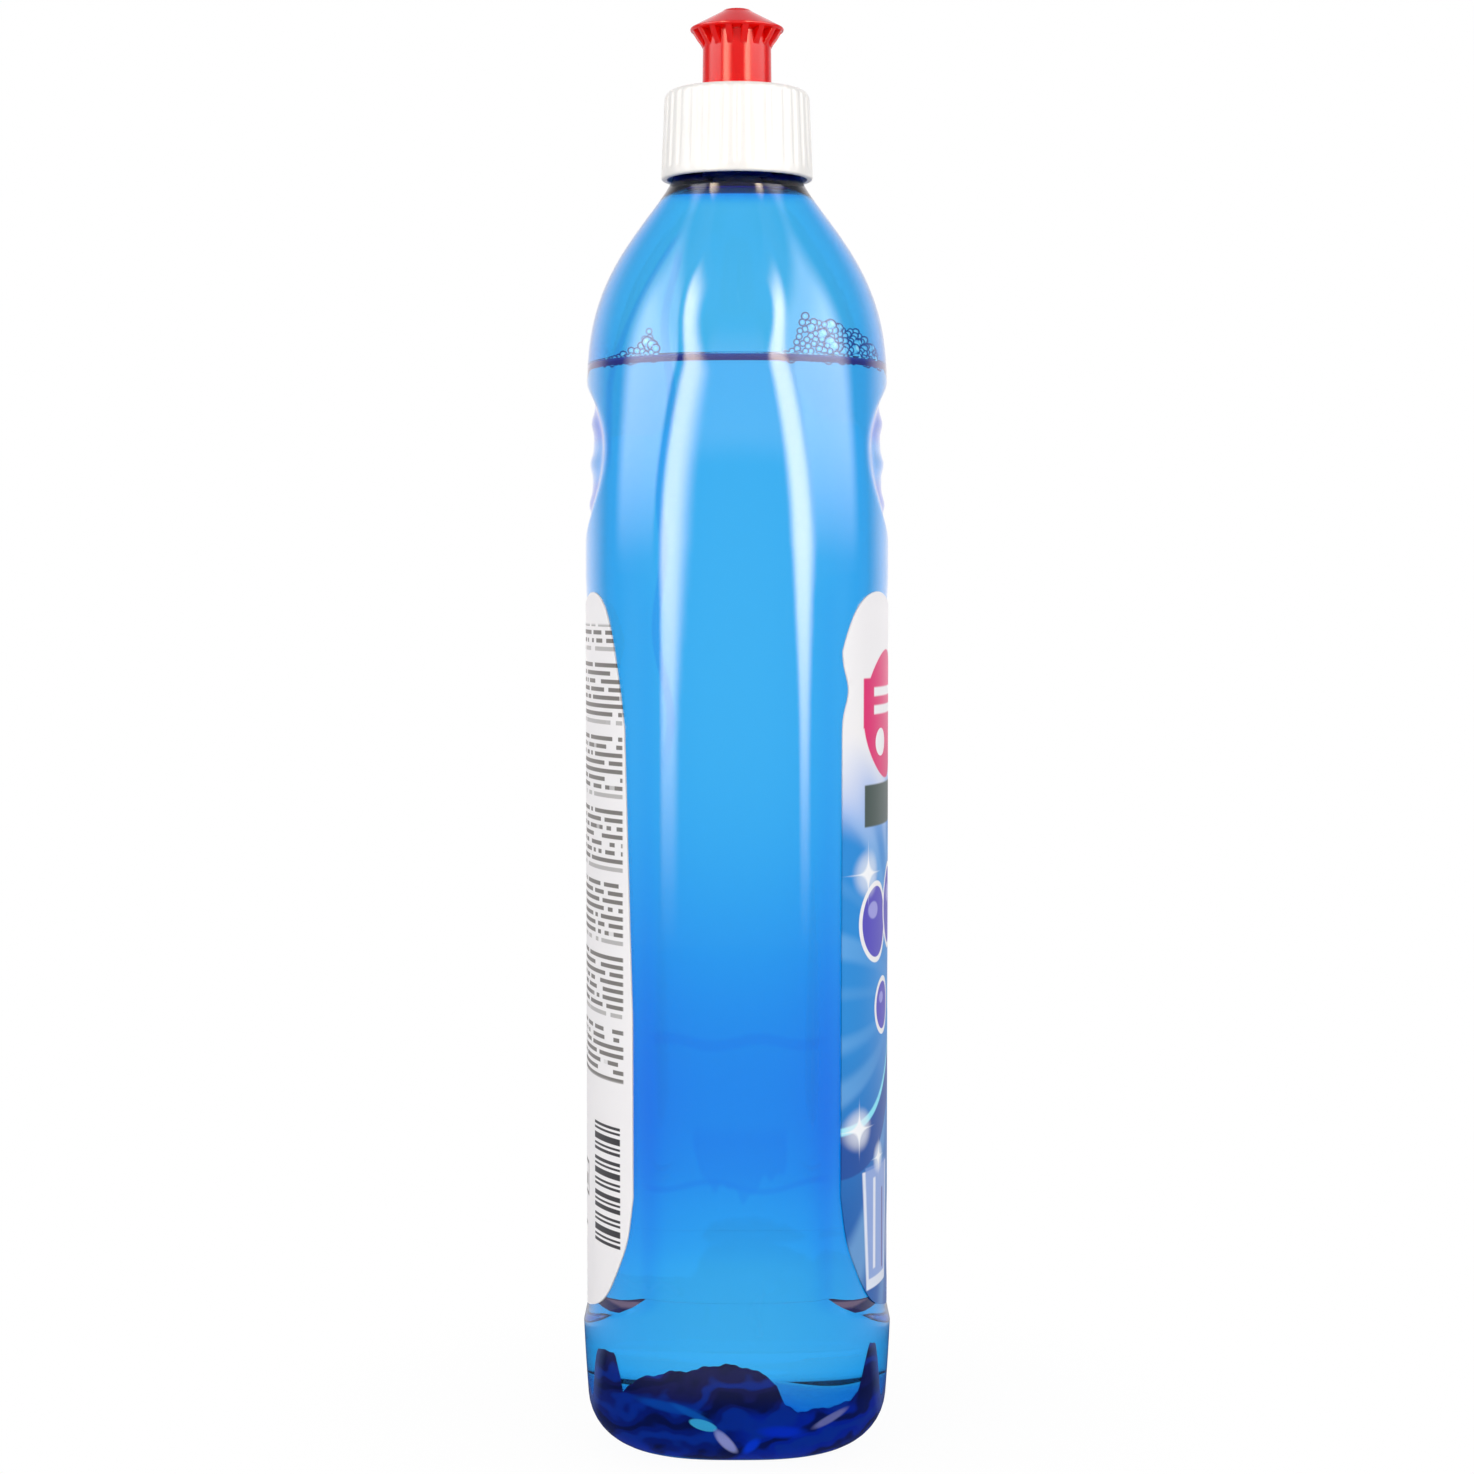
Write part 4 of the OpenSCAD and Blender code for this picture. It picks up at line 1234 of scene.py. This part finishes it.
class RINSE_OT_spout(bpy.types.Operator):
    """Turn the push-pull spout and stand its fins under the flange"""

    bl_idname = "rinse_aid.spout"
    bl_label = "Spout"

    stem_r, flange_r, tip_r = 7.1, 9.75, 2.5
    inner, hole, lip = 6.0, 1.6, 5.65
    travel = 4.8

    def execute(self, context):
        s = sizes().spout
        foot, tip = SPOUT_LOW.z / MM, SPOUT_HIGH.z / MM
        flange = tip - 4.15
        inner, hole, lip, gap = self.inner, self.hole, self.lip, Form.seat_gap
        # Pulled up, the lip stops just under the chimney's catch
        lip_z = foot - gap + RINSE_OT_cap.chimney_h - RINSE_OT_cap.catch_drop - gap - self.travel
        profile = fillet([
            [inner, foot + 1],
            [inner, foot, 0.2],
            [self.stem_r + 0.1, foot, 0.35],
            [self.stem_r, flange - 3],
            [self.stem_r, flange - 0.7, 0.4],
            [self.flange_r - 0.15, flange - 0.35, 0.12],
            [self.flange_r, flange - 0.05, 0.12],
            [self.flange_r - 0.1, flange + 0.25, 0.25],
            [self.tip_r + 0.9, tip - 0.6, 0.5],
            [self.tip_r + 0.2, tip - 0.1, 0.3],
            [self.tip_r - 0.2, tip, 0.12],
            [hole, tip, 0.12],
            [hole, tip - 2.3, 0.3],
            [inner, flange - 0.4, 0.5],
            [inner, lip_z + 0.4, 0.1],
            [lip, lip_z, 0.1],
            [lip, lip_z - 0.9, 0.1],
            [inner, lip_z - 1.2, 0.1],
        ], 5)
        plastic = material(
            "red_spout_plastic",
            Base_Color=s.plastic,
            Roughness=0.16,
            IOR=1.49,
            Specular_IOR_Level=0.35,
            Subsurface_Weight=0.08,
            Subsurface_Scale=0.0006,
            Subsurface_Radius=(1.0, 0.2, 0.1),
        )
        core = new_piece("spout_core", *revolve(profile, 144), [plastic], 40)
        fin_foot = tip - 8
        outline = [
            (self.stem_r - 0.3, fin_foot),
            (self.stem_r + 0.02, fin_foot),
            (self.stem_r + 0.45, fin_foot + 0.85),
            (self.stem_r + 1.15, fin_foot + 1.75),
            (self.stem_r + 1.75, fin_foot + 2.7),
            (self.flange_r - 0.35, flange - 0.3),
            (self.stem_r - 0.3, flange - 0.3),
        ]
        half = s.fin / MM / 2
        points = [(r, y, z) for y in (-half, half) for r, z in outline]
        k = len(outline)
        faces = [tuple(range(k)), tuple(reversed(range(k, 2 * k)))]
        faces += [(i + k, (i + 1) % k + k, (i + 1) % k, i) for i in range(k)]
        fin = new_piece("spout_fin", points, faces, [])
        # The first fin stands half a pitch off the camera's direction
        across, along = math.sin(math.pi / s.fins), math.cos(math.pi / s.fins)
        for v in fin.data.vertices:
            x, y = v.co.x, v.co.y
            v.co.x, v.co.y = x * along - y * across, x * across + y * along
        soften = fin.modifiers.new("soften", "BEVEL")
        soften.width, soften.segments = 0.00018, 2
        apply_tree(fin, ring_tree(), {"Count": s.fins, "Merge": 0.0000005, "Material": plastic})
        fins = evaluated(fin, "spout_fins", 40)
        hand_over(joined("push_pull_spout", [core, fins]), "push_pull_spout", "spout")
        return {"FINISHED"}


# Stage


class RINSE_OT_stage(bpy.types.Operator):
    """Set the floor, the light and the camera"""

    bl_idname = "rinse_aid.stage"
    bl_label = "Studio"

    def world(self, s):
        """White for the camera and through the bottle, and plain light all round for the surfaces."""
        world = bpy.data.worlds.new("studio")
        bpy.context.scene.world = world
        world.use_nodes = True
        tree = world.node_tree
        tree.nodes.clear()
        ray = node(tree, "ShaderNodeLightPath").outputs
        look = node(tree, "ShaderNodeTexCoord").outputs["Generated"]
        behind = Wire(tree, node(tree, "ShaderNodeSeparateXYZ", {0: look}).outputs[0])
        # Gloss sees a white wall only far behind the bottle, a dark one beside it and a dim one in front
        gloss = Paint(tree, (0.55, 0.55, 0.57))
        gloss.over(behind.step(-0.3, 0.1), (0.26, 0.28, 0.34))
        gloss.over(behind.step(0.55, 0.9), (1.0, 0.97, 1.0))
        shade = Paint(tree, (s.ambient,) * 3)
        shade.over(ray["Is Glossy Ray"], gloss)
        shade.over(ray["Is Camera Ray"], (1.0, 1.0, 1.0))
        shade.over(ray["Is Transmission Ray"], (1.0, 1.0, 1.0))
        background = node(tree, "ShaderNodeBackground", {"Color": shade})
        node(tree, "ShaderNodeOutputWorld", {"Surface": background.outputs[0]})

    def floor(self, s):
        """A pale floor that nearly shines for the camera, is dark in gloss and lets the bottle show the wall."""
        m = material("floor", Base_Color=s.floor, Roughness=0.9, Specular_IOR_Level=0.1)
        tree = m.node_tree
        x, y, _ = coordinates(tree)
        far = (x * x + y * y) ** 0.5
        ray = node(tree, "ShaderNodeLightPath").outputs
        seen = (far.step(45, 120) * 0.04 + 0.96) * Wire(tree, ray["Is Camera Ray"])
        mirror = Paint(tree, s.below)
        mirror.over(far.step(75, 120), (0.50, 0.50, 0.53))
        glow = node(tree, "ShaderNodeEmission")
        dark = node(tree, "ShaderNodeEmission", {"Color": mirror})
        clear = node(tree, "ShaderNodeBsdfTransparent")
        shown = tree.nodes["Principled BSDF"].outputs[0]
        for share, other in ((seen, glow), (ray["Is Glossy Ray"], dark), (ray["Is Transmission Ray"], clear)):
            shown = node(tree, "ShaderNodeMixShader", {0: share, 1: shown, 2: other.outputs[0]}).outputs[0]
        tree.links.new(shown, tree.nodes["Material Output"].inputs["Surface"])
        reach = 3000
        corners = [(-reach, -reach, 0), (reach, -reach, 0), (reach, reach, 0), (-reach, reach, 0)]
        new_piece("floor", corners, [(0, 1, 2, 3)], [m])

    def dome(self, level):
        """Soft lights in front of the bottle, seen only in gloss: two strips that bend overhead, haze beside them."""
        radius = 900
        turn, rise = np.meshgrid(np.arange(-120, 121, 1.5), np.arange(-14, 77, 1.5))
        side, az = turn > 0, np.abs(turn)
        middle = 38 + 30 * np.where(side, soft((rise - 46.7) / 22), soft((rise - 51.7) / 20))
        wide = 0.45 + 0.55 * soft((rise + 5) / 8)
        # Each strip has a sharp edge on one side and runs out on the other
        left = soft((middle + 13 - az) / 8) * soft((az - middle + 2 + 20 * wide) / (20 * wide))
        right = soft((az - middle + 15 * wide) / (9 * wide)) * soft((middle + 1 + 15 * wide - az) / (15 * wide))
        strip = np.where(side, left, 1.15 * right) * soft((rise + 11.5) / 14) * (1 - soft((rise - 63.7) / 10))
        haze = soft((az - middle - np.where(side, 16, 10)) / 5) * (1 - soft((az - 98) / 16))
        haze = haze * 0.44 * (1 - np.exp(-np.maximum(0, rise - 0.5) / 14)) * (1 - 0.45 * soft((rise - 44) / 13))
        haze = haze * (1 - soft((rise - 58) / 8))
        haze = haze + 0.08 * soft((rise - 16) / 12) * (1 - soft((rise - 54) / 12)) * (1 - soft((az - 20) / 12))
        points = np.stack([
            -35 - radius * np.cos(np.radians(rise)) * np.cos(np.radians(turn)),
            radius * np.cos(np.radians(rise)) * np.sin(np.radians(turn)),
            175 + radius * np.sin(np.radians(rise)),
        ], -1)
        warm, pale, cool = (np.array(tone) for tone in ((1.0, 0.80, 0.58), (1.0, 0.96, 0.95), (1.0, 1.0, 1.05)))
        glow = level * (strip[..., None] * warm + haze[..., None] * pale)
        glow = glow + (0.55 - 0.27 * soft((az - 86) / 22))[..., None] * cool
        m = bpy.data.materials.new("light_dome")
        m.use_nodes = True
        tree = m.node_tree
        tree.nodes.clear()
        value = node(tree, "ShaderNodeAttribute", attribute_name="glow")
        lamp = node(tree, "ShaderNodeEmission", {"Color": value.outputs["Color"]})
        node(tree, "ShaderNodeOutputMaterial", {"Surface": lamp.outputs[0]})
        card = new_piece("light_dome", points.reshape(-1, 3), grid(*turn.shape), [m])
        shade = np.concatenate([glow.reshape(-1, 3), np.ones((glow.size // 3, 1))], 1)
        card.data.attributes.new("glow", "FLOAT_COLOR", "POINT").data.foreach_set("color", shade.ravel())
        for flag in ("camera", "transmission", "diffuse", "shadow"):
            setattr(card, "visible_" + flag, False)

    def lamp(self, name, place, size, power):
        """A soft lamp that lights the surfaces and doesn't show in their gloss."""
        data = bpy.data.lights.new(name, "AREA")
        data.shape, data.size, data.size_y, data.energy = "RECTANGLE", *size, power
        lamp = bpy.data.objects.new(name, data)
        bpy.context.scene.collection.objects.link(lamp)
        lamp.location = Vector(place)
        lamp.rotation_euler = (Vector((0, 0, 0.15)) - lamp.location).to_track_quat("-Z", "Y").to_euler()
        lamp.visible_glossy = lamp.visible_transmission = lamp.visible_camera = False

    def execute(self, context):
        s = sizes().stage
        scene = context.scene
        scene.view_settings.view_transform = "Standard"
        self.world(s)
        self.floor(s)
        self.dome(s.strips)
        self.lamp("key_left", (-0.8, 0.6, 0.7), (0.5, 0.8), s.key)
        self.lamp("key_right", (-0.7, -0.8, 0.6), (0.5, 0.8), s.key)
        self.lamp("fill_back", (0.9, 0.2, 0.8), (0.8, 0.8), s.key * 0.6)
        camera = bpy.data.objects.new("camera", bpy.data.cameras.new("camera"))
        scene.collection.objects.link(camera)
        camera.data.lens, camera.data.sensor_width = s.lens, 36
        camera.data.clip_start = 0.01
        camera.location = (-s.distance, 0, s.height)
        camera.rotation_euler = (math.pi / 2 - s.tilt, 0, -math.pi / 2)
        scene.camera = camera
        return {"FINISHED"}


class RINSE_PT_panel(bpy.types.Panel):
    """Rinse aid bottle"""

    bl_label = "Rinse Aid Bottle"
    bl_idname = "RINSE_PT_panel"
    bl_space_type = "VIEW_3D"
    bl_region_type = "UI"
    bl_category = "Rinse Aid"

    def draw(self, context):
        everything = sizes()
        for operator, group in STEPS:
            box = self.layout.box()
            box.operator(operator.bl_idname)
            if group:
                values = getattr(everything, group)
                for key in values.__annotations__:
                    box.prop(values, key)


STEPS = [
    (RINSE_OT_bottle, "bottle"),
    (RINSE_OT_fill, "fill"),
    (RINSE_OT_labels, "labels"),
    (RINSE_OT_cap, "cap"),
    (RINSE_OT_spout, "spout"),
    (RINSE_OT_stage, "stage"),
]
CLASSES = [
    BottleSizes, FillSizes, LabelSizes, CapSizes, SpoutSizes, StageSizes, AllSizes,
    *[operator for operator, _ in STEPS], RINSE_PT_panel,
]


def register():
    for c in CLASSES:
        bpy.utils.register_class(c)
    bpy.types.Scene.rinse_aid_sizes = PointerProperty(type=AllSizes)


def unregister():
    del bpy.types.Scene.rinse_aid_sizes
    for c in reversed(CLASSES):
        bpy.utils.unregister_class(c)


def main():
    register()
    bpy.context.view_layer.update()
    for operator, _ in STEPS:
        group, name = operator.bl_idname.split(".")
        getattr(getattr(bpy.ops, group), name)()


if __name__ == "__main__":
    main()
